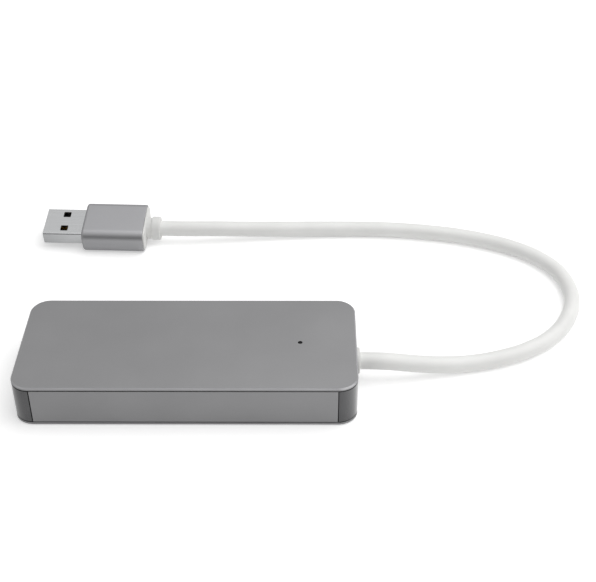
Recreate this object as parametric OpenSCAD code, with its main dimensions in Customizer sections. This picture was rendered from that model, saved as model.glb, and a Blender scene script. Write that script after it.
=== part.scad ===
// Slim video capture box with a captive data cable.
// X runs from the port end to the cable end, Y from front to rear, Z up.
// The origin is at the middle of the underside. Millimetres.

/* [Body] */
// Length of the box along X
body_w = 94; // [84:0.5:120]
// Depth of the box along Y
body_d = 39.4; // [35.4:0.2:60]
// Height of the box
body_h = 13.1; // [11:0.1:18]
// Plan radius of the four corners
corner_r = 5.4; // [4.8:0.1:7.5]
// Chamfer round the outer rim of both covers
rim_chamfer = 0.35; // [0.2:0.05:0.6]
// Clearance between pieces that fit in each other
fit = 0.05; // [0.02:0.01:0.1]

/* [Covers] */
// Thickness of the top cover
top_t = 0.8; // [0.7:0.05:1.2]
// Thickness of the bottom cover
base_t = 1; // [0.9:0.05:1.4]
// Thickness of the adhesive ring under the top cover, seen as a shadow line
tape_t = 0.25; // [0.15:0.05:0.4]
// Width of the adhesive ring
tape_w = 0.7; // [0.4:0.05:0.7]
// Distance of the adhesive ring from the outer face
tape_inset = 1.1; // [1.05:0.05:1.15]
// Height of the shadow line above the bottom cover
base_line = 0.2; // [0.1:0.05:0.4]
// Thread diameter of the cover screws
cover_screw_d = 2; // [1.6:0.1:2.2]
// Head diameter of the cover screws
cover_head_d = 3.2; // [2.8:0.1:3.6]
// Length of thread of the cover screws above the bottom cover
cover_screw_l = 5; // [3:0.5:7]
// Depth of the drive slots in all screw heads
drive_depth = 0.4; // [0.2:0.05:0.5]
// Width of the drive slots
drive_w = 0.5; // [0.3:0.05:0.6]
// Length of the drive slots
drive_l = 1.8; // [1.2:0.1:2]

/* [Frame] */
// Thickness of the two end walls
end_wall = 1.8; // [1.8:0.1:2.2]
// Thickness of the two long walls with their side panels
side_wall = 2.4; // [2.2:0.1:3]
// Setback of the frame's foot behind the lower shadow line
foot_inset = 0.8; // [0.5:0.1:0.95]
// Diameter of the corner posts that take the cover screws
post_d = 3.8; // [3.4:0.1:4.2]
// Depth that posts and bosses run into the walls
post_sink = 0.4; // [0.2:0.05:0.5]
// Thickness of the side panels
panel_t = 1; // [0.8:0.05:1.05]
// Distance of the side panels from the ends of the box
panel_end = 5.5; // [4.8:0.1:8]
// Fine line at each end of the side panels
panel_line = 0.1; // [0.05:0.05:0.2]
// Diameter of the studs on the back of the side panels
stud_d = 2; // [1.4:0.1:3]
// Spacing of the studs along the panel
stud_pitch = 28; // [20:1:34]
// Distance that the studs stop short of the inner wall face
stud_short = 0.2; // [0.1:0.05:0.5]

/* [Board] */
// Thickness of the circuit board
board_t = 1; // [0.8:0.1:1.2]
// Height of the board above the bottom cover
board_rise = 1.8; // [1.6:0.1:2.2]
// Clearance between the board and the frame
board_play = 0.3; // [0.2:0.05:0.5]
// Free length between the board and the wall at the cable end
cable_bay = 7.2; // [6.6:0.1:9]
// Width of the rails that carry the long edges of the board
rail_w = 1.2; // [0.8:0.1:1.6]
// Diameter of the bosses for the board screws
boss_d = 4.4; // [3.6:0.1:5]
// Distance of the bosses from the inner face of the long walls
boss_in = 3.2; // [2.8:0.1:3.6]
// Distance of two board screws from the port edge of the board
screw_port = 14; // [13.8:0.1:15]
// Distance of two board screws from the cable edge of the board
screw_cable = 4.5; // [3:0.1:5]
// Thread diameter of the board screws
screw_d = 2; // [1.6:0.1:2.2]
// Head diameter of the board screws
head_d = 3.6; // [3:0.1:4]
// Head height of the board screws
head_h = 1.2; // [0.8:0.1:1.6]
// Length of thread of the board screws below the head
screw_l = 2.4; // [2:0.1:2.7]
// Thickness of the insulating film on the bottom cover
film_t = 0.2; // [0.1:0.05:0.3]
// Distance of the insulating film from the end walls
film_end = 3; // [2:0.5:10]
// Distance of the insulating film from the board bosses
film_side = 0.9; // [0.3:0.1:4]

/* [Video socket] */
// Space between the video socket and the audio jack
socket_space = 1.4; // [1:0.1:1.8]
// Width of the video socket's mouth
video_w = 14; // [13.6:0.1:14.4]
// Height of the video socket's mouth
video_h = 4.55; // [4.3:0.05:4.8]
// Width cut from each lower corner of the mouth
video_cut_w = 1.9; // [1:0.1:2.4]
// Height cut from each lower corner of the mouth
video_cut_h = 1.6; // [1:0.1:2]
// Sheet thickness of the video socket
video_wall = 0.35; // [0.2:0.05:0.4]
// Length of the video socket
video_l = 11.5; // [10:0.1:12]
// Height of the video socket above the board
video_lift = 0.3; // [0.2:0.05:0.6]
// Distance of the video socket behind the port end face
video_recess = 0.3; // [0.1:0.1:1]
// Clearance between the sockets and their openings in the frame
port_clear = 0.25; // [0.15:0.05:0.4]
// Width of the contact tongue
tongue_w = 11.2; // [10.6:0.1:11.6]
// Thickness of the contact tongue
tongue_t = 1.3; // [1:0.1:1.6]
// Distance of the tongue behind the mouth
tongue_set = 1.6; // [1:0.1:3]
// Length of the block behind the tongue
tongue_block = 3; // [2:0.1:4]
// Spacing of the contacts on one side of the tongue
contact_pitch = 1; // [0.9:0.05:1]
// Width of one contact
contact_w = 0.3; // [0.2:0.05:0.4]
// Thickness of one contact
contact_t = 0.2; // [0.1:0.05:0.3]
// Length of the contact feet on the board
contact_foot = 0.9; // [0.6:0.1:1.2]
// Width of the solder legs of the video socket
leg_w = 1.6; // [1:0.1:2]
// Distance of the front legs from the mouth
leg_front = 2.6; // [2.2:0.1:3.4]
// Distance between the front and the rear legs
leg_pitch = 6; // [5:0.1:6.6]

/* [Audio jack] */
// Width of the jack body
jack_w = 6.4; // [6.2:0.1:7]
// Height of the jack body
jack_h = 5.2; // [5:0.1:5.8]
// Length of the jack body
jack_l = 11; // [9:0.1:12]
// Bore of the jack
jack_bore = 3.6; // [3.5:0.05:3.7]
// Outer diameter of the metal bush in the jack's mouth
bush_d = 5.6; // [4.8:0.1:5.6]
// Distance of the bush behind the port end face
bush_recess = 0.2; // [0.1:0.1:1]
// Space between the jack body and the end wall
jack_back = 0.2; // [0.1:0.1:0.5]
// Wall left behind the jack's bore
jack_end = 0.8; // [0.5:0.1:1.5]
// Thickness of the jack's contact strips
spring_t = 0.25; // [0.15:0.05:0.3]
// Width of the jack's contact strips
spring_w = 1.4; // [0.8:0.1:1.8]
// Length of the jack's contact strips
spring_l = 6; // [4:0.1:7]
// Width of the solder legs of the jack's strips
spring_leg = 1; // [0.6:0.1:1.4]

/* [Light] */
// Distance of the indicator light from the cable end
light_in = 15.8; // [14:0.1:18]
// Diameter of the light pipe in the top cover
pipe_d = 1.2; // [0.8:0.1:1.6]
// Diameter of the light pipe's flange under the top cover
pipe_flange_d = 3; // [2.2:0.1:4]
// Thickness of the light pipe's flange
pipe_flange_t = 0.6; // [0.4:0.1:1]
// Distance of the pipe's tip below the top face
pipe_low = 0.1; // [0.05:0.05:0.2]
// Air between the light pipe and the lamp
pipe_air = 0.3; // [0.1:0.1:0.6]
// Length of the lamp
led_l = 1.6; // [1:0.1:2]
// Width of the lamp
led_w = 0.8; // [0.5:0.1:1.2]
// Height of the lamp
led_h = 0.7; // [0.4:0.1:1]

/* [Board parts] */
// Side of the capture processor
processor_w = 13; // [10:0.1:14]
// Thickness of the capture processor
processor_t = 1.2; // [0.8:0.1:1.5]
// Distance of the processor from the cable edge of the board
processor_in = 22; // [21:0.1:23]
// Distance of the processor from the board's middle line
processor_y = 3.5; // [3:0.1:4]
// Side of the heat block
heat_block_w = 14; // [11:0.1:14]
// Thickness of the thermal pad under the heat block
pad_t = 0.3; // [0.2:0.05:0.5]
// Thickness of the thermal pad on the heat block
top_pad_t = 0.8; // [0.4:0.1:1.2]
// Side of the video receiver chip
receiver_w = 9; // [7:0.1:10]
// Thickness of the video receiver chip
receiver_t = 0.9; // [0.6:0.1:1.4]
// Distance of the receiver chip from the port edge of the board
receiver_in = 21.5; // [21:0.1:22.5]
// Distance of the audio codec chip from the port edge of the board
codec_in = 19; // [18:0.1:20]
// Distance of the capacitor, crystal and flash column from the port edge of the board
column_in = 30; // [29.5:0.1:31]
// Distance of the power inductors from the port edge of the board
inductor_in = 38.5; // [38:0.1:39]
// Distance of the resistors at the video socket from the port edge of the board
resistor_in_a = 14; // [13:0.1:14.5]
// Distance of the resistors beside the column from the port edge of the board
resistor_in_b = 34.5; // [34.2:0.1:35]
// Distance of the resistors beside the inductors from the port edge of the board
resistor_in_c = 42; // [41.5:0.1:42.5]
// Distance of the voltage regulators from the cable edge of the board
regulator_in = 9; // [8.5:0.1:9.2]
// Distance of the second crystal from the cable edge of the board
crystal_in = 11.5; // [11:0.1:12]
// Distance of the outer capacitors and inductors from the long edges of the board
row_edge_a = 4; // [3.6:0.1:4.4]
// Distance of the second row from the long edges of the board
row_edge_b = 8.4; // [8:0.1:8.8]
// Distance of the capacitors beside the receiver from the rear edge of the board
row_edge_c = 5.8; // [5.5:0.1:6]
// Distance of the capacitors between the receiver and the codec from the middle line
row_mid = 3; // [2.8:0.1:3.2]
// Distance of the first and the second crystal from the middle line
crystal_mid = [3.5, 1.5]; // [0.5:0.1:4]
// Length of the memory chip
memory_l = 12; // [9:0.1:13]
// Width of the memory chip
memory_w = 8; // [6:0.1:8.4]
// Thickness of the memory chip
memory_t = 1; // [0.8:0.1:1.4]
// Distance of the memory chip from the front edge of the board
memory_edge = 7.3; // [7:0.1:7.6]
// Length of the flash chip's body
flash_l = 5; // [4:0.1:5.5]
// Width of the flash chip's body
flash_w = 4; // [3.5:0.1:4.4]
// Thickness of the flash chip
flash_t = 1.6; // [1:0.1:1.8]
// Spacing of the flash chip's pins
flash_pitch = 1.25; // [1:0.05:1.27]
// Width of the flash chip's pins
flash_pin_w = 0.4; // [0.3:0.05:0.5]
// Distance that the flash chip's pins stand out
flash_pin_out = 0.9; // [0.6:0.1:1]
// Side of the audio codec chip
codec_w = 5; // [4:0.1:6]
// Thickness of the audio codec chip
codec_t = 0.8; // [0.6:0.1:1.2]
// Length of a voltage regulator
regulator_l = 5; // [4:0.1:5.4]
// Width of a voltage regulator
regulator_w = 3.5; // [3:0.1:4]
// Thickness of a voltage regulator
regulator_t = 1.6; // [1:0.1:1.8]
// Distance that a regulator's tab stands out
regulator_tab_w = 0.8; // [0.5:0.1:0.9]
// Thickness of a regulator's tab
regulator_tab_t = 0.3; // [0.2:0.05:0.5]
// Side of a power inductor
inductor_w = 4; // [3:0.1:4.4]
// Height of a power inductor
inductor_h = 2; // [1.4:0.1:2.1]
// Spacing of the power inductors
inductor_pitch = 5.4; // [4.8:0.1:6]
// Corner radius of a power inductor
inductor_r = 0.6; // [0.3:0.1:1]
// Length of a clock crystal
crystal_l = 3.2; // [2.5:0.1:4]
// Width of a clock crystal
crystal_w = 2.5; // [2:0.1:3]
// Height of a clock crystal
crystal_h = 0.8; // [0.5:0.1:1.2]
// Corner radius of a clock crystal
crystal_r = 0.4; // [0.2:0.1:0.6]
// Length of a tantalum capacitor
tantalum_l = 3.5; // [3:0.1:4]
// Width of a tantalum capacitor
tantalum_w = 2.8; // [2:0.1:3]
// Height of a tantalum capacitor
tantalum_h = 1.9; // [1.2:0.1:2]
// Length of a ceramic capacitor
ceramic_l = 1.6; // [1:0.1:2]
// Width of a ceramic capacitor
ceramic_w = 0.8; // [0.5:0.1:1.2]
// Spacing of the ceramic capacitors
ceramic_pitch = 2.4; // [2.2:0.1:2.6]
// Length of a chip resistor
resistor_l = 1; // [0.8:0.1:1.2]
// Width of a chip resistor
resistor_w = 0.5; // [0.4:0.1:0.8]
// Height of a chip resistor
resistor_h = 0.4; // [0.3:0.05:0.5]
// Spacing of the chip resistors
resistor_pitch = 1.5; // [1.2:0.1:1.7]

/* [Cable] */
// Diameter of the cable
cord_d = 5; // [4:0.1:5.4]
// Diameter of the gland outside the end wall
gland_d = 7.5; // [7:0.1:9]
// Distance that the gland stands out from the end wall
gland_l = 1; // [0.6:0.1:2]
// Chamfer on the gland's outer edge
gland_chamfer = 0.2; // [0.1:0.05:0.3]
// Diameter of the gland's neck in the end wall
gland_neck_d = 6.4; // [6.1:0.1:6.8]
// Diameter of the gland's inner flange
gland_inner_d = 8.6; // [7.2:0.1:9]
// Thickness of the gland's inner flange
gland_inner_l = 1.5; // [1:0.1:2]
// Outer diameter of the crimp ring on the cable
crimp_d = 6.6; // [6:0.1:7]
// Length of the crimp ring
crimp_l = 2; // [1.2:0.1:2.4]
// Length of cable past the crimp ring
tail_l = 0.7; // [0.4:0.1:1]
// Diameter of one inner wire
wire_d = 0.6; // [0.4:0.05:0.65]
// Spacing of the wire pairs where they leave the cable
pair_pitch = 1.1; // [1:0.05:1.15]
// Height between the two wires of a pair where they leave the cable
pair_step = 1.1; // [1:0.05:1.3]
// Spacing of the wire ends on the board
pad_pitch = 1.2; // [1:0.1:1.3]
// Distance of the wire ends from the board's cable edge
pad_in = 3; // [2:0.1:4]
// Straight length at both ends of a wire
wire_straight = 1.2; // [0.8:0.1:1.4]
// Height that a wire drops before it lies on the board
wire_drop = 0.5; // [0.3:0.1:0.8]
// Length over which a wire drops
wire_slope = 1.6; // [1.2:0.1:2]

/* [Plug] */
// Turn of the plug on the floor, seen from above
plug_yaw = -2.25; // [-6:0.25:6]
// Roll of the plug towards the front
plug_roll = 10; // [0:0.5:15]
// Width of the plug's metal mouth
plug_w = 12; // [11.9:0.05:12.1]
// Height of the plug's metal mouth
plug_h = 4.5; // [4.4:0.05:4.6]
// Length of the mouth in front of the sleeve
plug_l = 13; // [11.75:0.05:14.5]
// Length of the mouth inside the sleeve
plug_sunk = 6; // [4:0.1:8]
// Sheet thickness of the mouth
plug_wall = 0.3; // [0.25:0.05:0.35]
// Outer corner radius of the mouth
plug_r = 0.6; // [0.4:0.05:0.8]
// Side of the square windows in the mouth
window_w = 2.4; // [1.8:0.1:2.6]
// Distance of the windows from the tip
window_tip = 5.5; // [5:0.1:6]
// Spacing of the two windows
window_pitch = 6.4; // [5.6:0.1:6.8]
// Thickness of the plug's contact tongue
plug_tongue_t = 1.9; // [1.7:0.05:2]
// Distance of the plug's tongue behind the tip
plug_tongue_set = 0.7; // [0.4:0.1:1.2]
// Width of the plug's contacts
plug_contact_w = 1; // [0.8:0.1:1.2]
// Length of the plug's contacts
plug_contact_l = 6.4; // [5:0.1:7]
// Distance of the plug's contacts behind the tip
plug_contact_set = 1.4; // [1.2:0.1:2]
// Thickness of the plug's contacts
plug_contact_t = 0.15; // [0.1:0.05:0.3]
// Distance of the inner contacts from the plug's middle line
plug_contact_inner = 1; // [0.8:0.1:1.2]
// Distance of the outer contacts from the plug's middle line
plug_contact_outer = 3.5; // [3.2:0.1:3.8]
// Spacing of the plug's fast contacts
fast_pitch = 2; // [1.8:0.1:2.2]
// Width of one fast contact
fast_w = 0.6; // [0.4:0.1:0.8]
// Length of one fast contact
fast_l = 2.2; // [1.6:0.1:2.4]
// Height of one fast contact
fast_t = 0.3; // [0.2:0.05:0.5]
// Distance of the fast contacts behind the tip
fast_set = 9.2; // [8.8:0.1:9.6]
// Width of the plug's sleeve
sleeve_w = 16.8; // [15.4:0.1:19]
// Thickness of the plug's sleeve
sleeve_h = 8.4; // [7.6:0.1:9.5]
// Length of the plug's sleeve
sleeve_l = 20; // [17.6:0.1:24]
// Corner radius of the sleeve
sleeve_r = 2.9; // [2.2:0.1:3.4]
// Wall of the sleeve
sleeve_wall = 0.6; // [0.5:0.05:0.7]
// Front wall of the sleeve
sleeve_front = 1; // [0.8:0.1:1.5]
// Depth of the rear insert in the sleeve
insert_in = 1.6; // [1:0.1:2.4]
// Distance that the rear insert stands out of the sleeve
insert_out = 0.5; // [0.3:0.1:1.5]
// Diameter of the neck behind the insert
neck_d = 6.9; // [6.2:0.1:7]
// Length of the neck
neck_l = 1.7; // [1.2:0.1:4]
// Diameter of the collar behind the neck
collar_d = 7.7; // [7.2:0.1:8.2]
// Length of the collar
collar_l = 2.8; // [2:0.1:5]
// Chamfer on the collar's edges
collar_chamfer = 0.35; // [0.1:0.05:0.5]
// Length of cable held in the plug's inner mould
plug_tail = 5; // [3:0.1:6]

/* [Hidden] */
$fn = 48;
// Extra length of cutting shapes past the faces that they cut
cut = 1;

// Heights of the stack
cover_under = body_h - top_t;
frame_top = cover_under - tape_t;
frame_bottom = base_t + base_line;
board_under = base_t + board_rise;
board_top = board_under + board_t;

// Half sizes of the space inside the frame
cavity_x = body_w / 2 - end_wall;
cavity_y = body_d / 2 - side_wall;
cavity_r = corner_r - end_wall;

// Places of posts, bosses and the board's edges
post_x = cavity_x - post_d / 2 + post_sink;
post_y = cavity_y - post_d / 2 + post_sink;
board_x0 = -cavity_x + board_play;
board_x1 = cavity_x - cable_bay;
board_y = cavity_y - board_play;
notch_x = -post_x + post_d / 2 + board_play;
notch_y = post_y - post_d / 2 - board_play;
boss_y = cavity_y - boss_in;
boss_xs = [board_x0 + screw_port, board_x1 - screw_cable];
film_w = 2 * (boss_y - boss_d / 2 - film_side);
panel_x = body_w / 2 - panel_end;
side_mid = (frame_bottom + frame_top) / 2;

// Video socket and audio jack
video_x = -body_w / 2 + video_recess;
video_end = video_x + video_l;
video_z = board_top + video_lift + video_wall + video_h / 2;
video_half = video_w / 2 + video_wall;
jack_half = jack_w / 2 + spring_t;
video_y = socket_space / 2 + jack_half;
jack_y = -socket_space / 2 - video_half;
contact_n = 10;
jack_front = -cavity_x + jack_back;
jack_x = -body_w / 2 + bush_recess;
jack_z = board_top + jack_h / 2;

// Light
light_x = body_w / 2 - light_in;
pipe_bottom = board_top + led_h + pipe_air;

// Places of the board parts, from the edge of the board that each belongs to
processor_x = board_x1 - processor_in;
heat_block_z = board_top + processor_t + pad_t;
heat_block_h = cover_under - top_pad_t - heat_block_z;
receiver_x = board_x0 + receiver_in;
row_a = board_y - row_edge_a;
row_b = board_y - row_edge_b;
row_c = board_y - row_edge_c;
codec_at = [board_x0 + codec_in, -row_b];
flash_at = [board_x0 + column_in, -row_b];
memory_at = [processor_x, memory_edge - board_y];
inductor_at = [board_x0 + inductor_in, row_a];
tantalum_at = [for (y = [row_a, row_b]) [board_x0 + column_in, y]];
crystal_at = [[board_x0 + column_in, crystal_mid[0]], [board_x1 - crystal_in, crystal_mid[1]]];
regulator_at = [for (side = [-1, 1]) [board_x1 - regulator_in, side * row_b]];
inductor_n = 3;
ceramic_n = 5;
resistor_n = 9;
ceramic_x = receiver_x + ceramic_w;
ceramic_rows = [[ceramic_x, row_c], [ceramic_x, -row_mid], [ceramic_x, -row_a], [processor_x, row_a]];
resistor_rows = [[resistor_in_a, video_y], [resistor_in_b, 0], [resistor_in_c, -row_b]];

// Cable, gland and inner wires
cable_z = body_h / 2;
gland_end = body_w / 2 + gland_l;
gland_start = cavity_x - gland_inner_l;
tail_x = gland_start - crimp_l - tail_l;
pad_x = board_x1 - pad_in;
wire_z = board_top + wire_d / 2 + fit;
pair_n = 4;
wire_sides = 8;
cord_sides = 10;

// The free cable lies on the floor in one loose bend and rises to the plug.
// Points from the gland's outer face, with their height above cable that lies on the floor
cord_points = [
    [8, 0, 3.75], [16, 0.6, 2.4], [24.5, 2.1, 0.8], [33, 3.8, 0], [42, 6.3, 0], [50.1, 10.1, 0],
    [57, 15.5, 0], [62.3, 22.6, 0], [65.6, 30.8, 0], [66.4, 39.7, 0], [64.4, 48.4, 0],
    [59.5, 55.8, 0], [52.5, 61.5, 0], [44.1, 65.7, 0], [35.1, 68.8, 0], [25.4, 70.9, 0],
    [15.3, 72.3, 0], [5, 72.9, 0], [-5.2, 72.9, 0.1], [-15.4, 72.4, 0.4], [-25.6, 71.6, 0.9],
    [-36, 70.7, 1.5], [-46, 69.8, 2.2], [-55, 69.2, 2.6], [-63, 69.4, 2.64]
];
cord_start = [gland_end, 0, cable_z];
cord_route = concat([cord_start], [for (p = cord_points) p + [gland_end, 0, cord_d / 2]]);
cord_end = cord_route[len(cord_route) - 1];
plug_axis = [cos(plug_yaw), sin(plug_yaw), 0];

// Lengths along the plug, from the front face of its sleeve
insert_face = sleeve_l + insert_out;
collar_end = insert_face + neck_l + collar_l;
mould_end = sleeve_l - insert_in;
plug_tail_x = mould_end - plug_tail;
tongue_low = plug_wall + fit - plug_h / 2;
tongue_top = tongue_low + plug_tongue_t;
plug_contact_ys = [for (side = [-1, 1], y = [plug_contact_inner, plug_contact_outer]) side * y];
fast_n = 5;

// Colours
aluminium_grey = [0.58, 0.58, 0.59];
frame_grey = [0.36, 0.36, 0.37];
cable_white = [0.93, 0.93, 0.92];
steel = [0.75, 0.76, 0.77];
gold = [0.85, 0.68, 0.32];
chip_black = [0.12, 0.12, 0.13];
board_green = [0.1, 0.35, 0.2];

// Plane outline with round corners
module rounded_rect(w, d, r) {
    square([w - 2 * r, d], center = true);
    square([w, d - 2 * r], center = true);
    for (sx = [-1, 1], sy = [-1, 1])
        translate([sx * (w / 2 - r), sy * (d / 2 - r)]) circle(r);
}

// Upright plate with round corners
module rounded_slab(w, d, h, r) {
    linear_extrude(h) rounded_rect(w, d, r);
}

// Plate whose upper edge is chamfered all round
module rimmed_plate(w, d, t, r, c) {
    rotate([90, 0, 90]) translate([0, 0, r - w / 2]) linear_extrude(w - 2 * r)
        polygon([[-d / 2, 0], [d / 2, 0], [d / 2, t - c], [d / 2 - c, t], [c - d / 2, t], [-d / 2, t - c]]);
    rotate([90, 0, 0]) translate([0, 0, r - d / 2]) linear_extrude(d - 2 * r)
        polygon([[-w / 2, 0], [w / 2, 0], [w / 2, t - c], [w / 2 - c, t], [c - w / 2, t], [-w / 2, t - c]]);
    for (sx = [-1, 1], sy = [-1, 1])
        translate([sx * (w / 2 - r), sy * (d / 2 - r), 0])
            rotate_extrude() polygon([[0, 0], [r, 0], [r, t - c], [r - c, t], [0, t]]);
}

// Extrusion along X of an outline given in Y and Z
module along_x(l) {
    rotate([90, 0, 90]) linear_extrude(l) children();
}

// Round bar along X
module rod_x(d, l) {
    rotate([0, 90, 0]) cylinder(d = d, h = l);
}

// Block centred in X and Y that stands on its underside
module block(l, w, h) {
    translate([-l / 2, -w / 2, 0]) cube([l, w, h]);
}

// Block centred in Y and Z that runs along X from its start
module bar_x(l, w, h) {
    translate([0, -w / 2, -h / 2]) cube([l, w, h]);
}

// Place on the upper face of the board
module on_board(at) {
    translate([at[0], at[1], board_top]) children();
}

// Two crossed drive slots, cut down from the origin
module drive_slots() {
    for (turn = [0, 90])
        rotate(turn) translate([-drive_l / 2, -drive_w / 2, -drive_depth])
            cube([drive_l, drive_w, drive_depth + cut]);
}

// Places of the four corner posts and of the four board bosses
module at_posts() {
    for (sx = [-1, 1], sy = [-1, 1]) translate([sx * post_x, sy * post_y, 0]) children();
}

module at_bosses() {
    for (x = boss_xs, sy = [-1, 1]) translate([x, sy * boss_y, 0]) children();
}

// Outline of the video socket's mouth, grown outwards by o
function mouth_slope() = sqrt(pow(video_cut_w, 2) + pow(video_cut_h, 2));
function mouth_side_z(o) = video_cut_h - video_h / 2
    + o * (video_cut_h - mouth_slope()) / video_cut_w;
function mouth_base_y(o) = video_w / 2 - video_cut_w
    + o * (mouth_slope() - video_cut_w) / video_cut_h;

module mouth(o) {
    wide = video_w / 2 + o;
    high = video_h / 2 + o;
    base = mouth_base_y(o);
    side = mouth_side_z(o);
    polygon([[-wide, high], [-wide, side], [-base, -high], [base, -high], [wide, side], [wide, high]]);
}

// Tube swept along points, square to the given directions at its ends
function unit(v) = v / norm(v);
function heading(path, i, first, last) =
    i == 0 ? first : i == len(path) - 1 ? last : unit(path[i + 1] - path[i - 1]);
function tube_ring(p, dir, r, sides) =
    let (side = unit(cross([0, 0, 1], dir)), up = cross(dir, side))
    [for (k = [0:sides - 1]) p + r * (cos(360 * k / sides) * up + sin(360 * k / sides) * side)];

module tube(path, d, sides, first, last) {
    rings = len(path);
    points = [for (i = [0:rings - 1]) each tube_ring(path[i], heading(path, i, first, last), d / 2, sides)];
    sheet = [for (i = [0:rings - 2], k = [0:sides - 1])
        let (a = i * sides + k, b = i * sides + (k + 1) % sides)
        each [[a, b, b + sides], [a, b + sides, a + sides]]];
    start = [for (k = [1:sides - 2]) [0, k + 1, k]];
    final = (rings - 1) * sides;
    end = [for (k = [1:sides - 2]) [final, final + k, final + k + 1]];
    polyhedron(points, concat(sheet, start, end));
}

// Enclosure

module frame_walls() {
    difference() {
        union() {
            translate([0, 0, frame_bottom])
                rounded_slab(body_w, body_d, frame_top - frame_bottom, corner_r);
            translate([0, 0, base_t])
                rounded_slab(body_w - 2 * foot_inset, body_d - 2 * foot_inset, frame_top - base_t,
                    corner_r - foot_inset);
        }
        translate([0, 0, base_t - cut])
            rounded_slab(2 * cavity_x, 2 * cavity_y, body_h, cavity_r);
    }
}

module frame_supports() {
    at_posts() translate([0, 0, base_t]) cylinder(d = post_d, h = frame_top - base_t);
    for (side = [0, 1]) mirror([0, side, 0]) {
        translate([notch_x + board_play, cavity_y - rail_w, base_t])
            cube([board_x1 - notch_x - board_play, rail_w + post_sink, board_rise]);
        for (x = boss_xs) translate([x, 0, base_t]) {
            translate([0, boss_y, 0]) cylinder(d = boss_d, h = board_rise);
            translate([-boss_d / 2, boss_y, 0]) cube([boss_d, boss_in + post_sink, board_rise]);
        }
    }
}

module panel_seat() {
    translate([-panel_x - panel_line, panel_t - body_d / 2 - side_wall, base_t - cut])
        cube([2 * (panel_x + panel_line), side_wall, body_h]);
    for (i = [-1:1])
        translate([i * stud_pitch, -body_d / 2, side_mid])
            rotate([-90, 0, 0]) cylinder(d = stud_d + 2 * fit, h = side_wall + cut);
}

module mid_frame() {
    color(frame_grey) difference() {
        union() {
            frame_walls();
            frame_supports();
        }
        for (side = [0, 1]) mirror([0, side, 0]) panel_seat();
        translate([-body_w / 2 - cut, video_y, video_z])
            along_x(end_wall + 2 * cut) mouth(video_wall + port_clear);
        translate([-body_w / 2 - cut, jack_y, jack_z])
            rod_x(bush_d + 2 * port_clear, end_wall + 2 * cut);
        translate([cavity_x - cut, 0, cable_z]) rod_x(gland_neck_d + 2 * fit, end_wall + 2 * cut);
        at_posts() translate([0, 0, base_t - cut])
            cylinder(d = cover_screw_d + 2 * fit, h = cut + cover_screw_l + fit);
        at_bosses() translate([0, 0, base_t - cut])
            cylinder(d = screw_d + 2 * fit, h = board_rise + 2 * cut);
    }
}

module top_cover() {
    color(aluminium_grey) difference() {
        translate([0, 0, cover_under]) rimmed_plate(body_w, body_d, top_t, corner_r, rim_chamfer);
        translate([light_x, 0, cover_under - cut]) cylinder(d = pipe_d + 2 * fit, h = top_t + 2 * cut);
    }
}

module cover_tape() {
    inner = tape_inset + tape_w;
    color("dimgray") translate([0, 0, frame_top]) difference() {
        rounded_slab(body_w - 2 * tape_inset, body_d - 2 * tape_inset, tape_t, corner_r - tape_inset);
        translate([0, 0, -cut])
            rounded_slab(body_w - 2 * inner, body_d - 2 * inner, tape_t + 2 * cut, corner_r - inner);
    }
}

module bottom_cover() {
    color(aluminium_grey) difference() {
        translate([0, 0, base_t]) mirror([0, 0, 1])
            rimmed_plate(body_w, body_d, base_t, corner_r, rim_chamfer);
        at_posts() {
            cover_cone(cover_head_d / 2 + fit);
            translate([0, 0, -cut]) cylinder(d = cover_screw_d + 2 * fit, h = base_t + 2 * cut);
        }
    }
}

// Countersunk cone that opens downwards from the underside
module cover_cone(r) {
    cylinder(r1 = r, r2 = 0, h = r);
}

module cover_screws() {
    color(steel) at_posts() difference() {
        union() {
            cover_cone(cover_head_d / 2);
            cylinder(d = cover_screw_d, h = base_t + cover_screw_l);
        }
        mirror([0, 0, 1]) drive_slots();
    }
}

module side_panel() {
    intersection() {
        translate([0, 0, frame_bottom])
            rounded_slab(body_w, body_d, frame_top - frame_bottom, corner_r);
        translate([-panel_x, -body_d / 2 - cut, frame_bottom - cut])
            cube([2 * panel_x, panel_t + cut, body_h]);
    }
    for (i = [-1:1])
        translate([i * stud_pitch, panel_t - body_d / 2 - stud_short, side_mid])
            rotate([-90, 0, 0]) cylinder(d = stud_d, h = side_wall - panel_t);
}

module front_side_panel() {
    color(aluminium_grey) side_panel();
}

module rear_side_panel() {
    color(aluminium_grey) mirror([0, 1, 0]) side_panel();
}

module light_pipe() {
    color("black") translate([light_x, 0, 0]) {
        translate([0, 0, pipe_bottom]) cylinder(d = pipe_d, h = body_h - pipe_low - pipe_bottom);
        translate([0, 0, cover_under - pipe_flange_t]) cylinder(d = pipe_flange_d, h = pipe_flange_t);
    }
}

module insulating_film() {
    color("black") translate([0, 0, base_t]) block(2 * (cavity_x - film_end), film_w, film_t);
}

// Circuit board and what stands on it

module circuit_board() {
    color(board_green) translate([0, 0, board_under]) linear_extrude(board_t) difference() {
        translate([board_x0, -board_y]) square([board_x1 - board_x0, 2 * board_y]);
        for (side = [0, 1]) mirror([0, side])
            translate([board_x0 - cut, notch_y]) square([notch_x - board_x0 + cut, board_y]);
        for (x = boss_xs, sy = [-1, 1]) translate([x, sy * boss_y]) circle(d = screw_d + 4 * fit);
        translate([0, video_y]) video_leg_slots();
        translate([jack_front + jack_l / 2, jack_y]) jack_leg_slots();
    }
}

module board_screws() {
    color(steel) at_bosses() difference() {
        union() {
            translate([0, 0, board_top]) cylinder(d = head_d, h = head_h);
            translate([0, 0, board_top - screw_l]) cylinder(d = screw_d, h = screw_l + head_h / 2);
        }
        translate([0, 0, board_top + head_h]) drive_slots();
    }
}

module indicator_led() {
    color("white") on_board([light_x, 0]) block(led_l, led_w, led_h);
}

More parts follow.
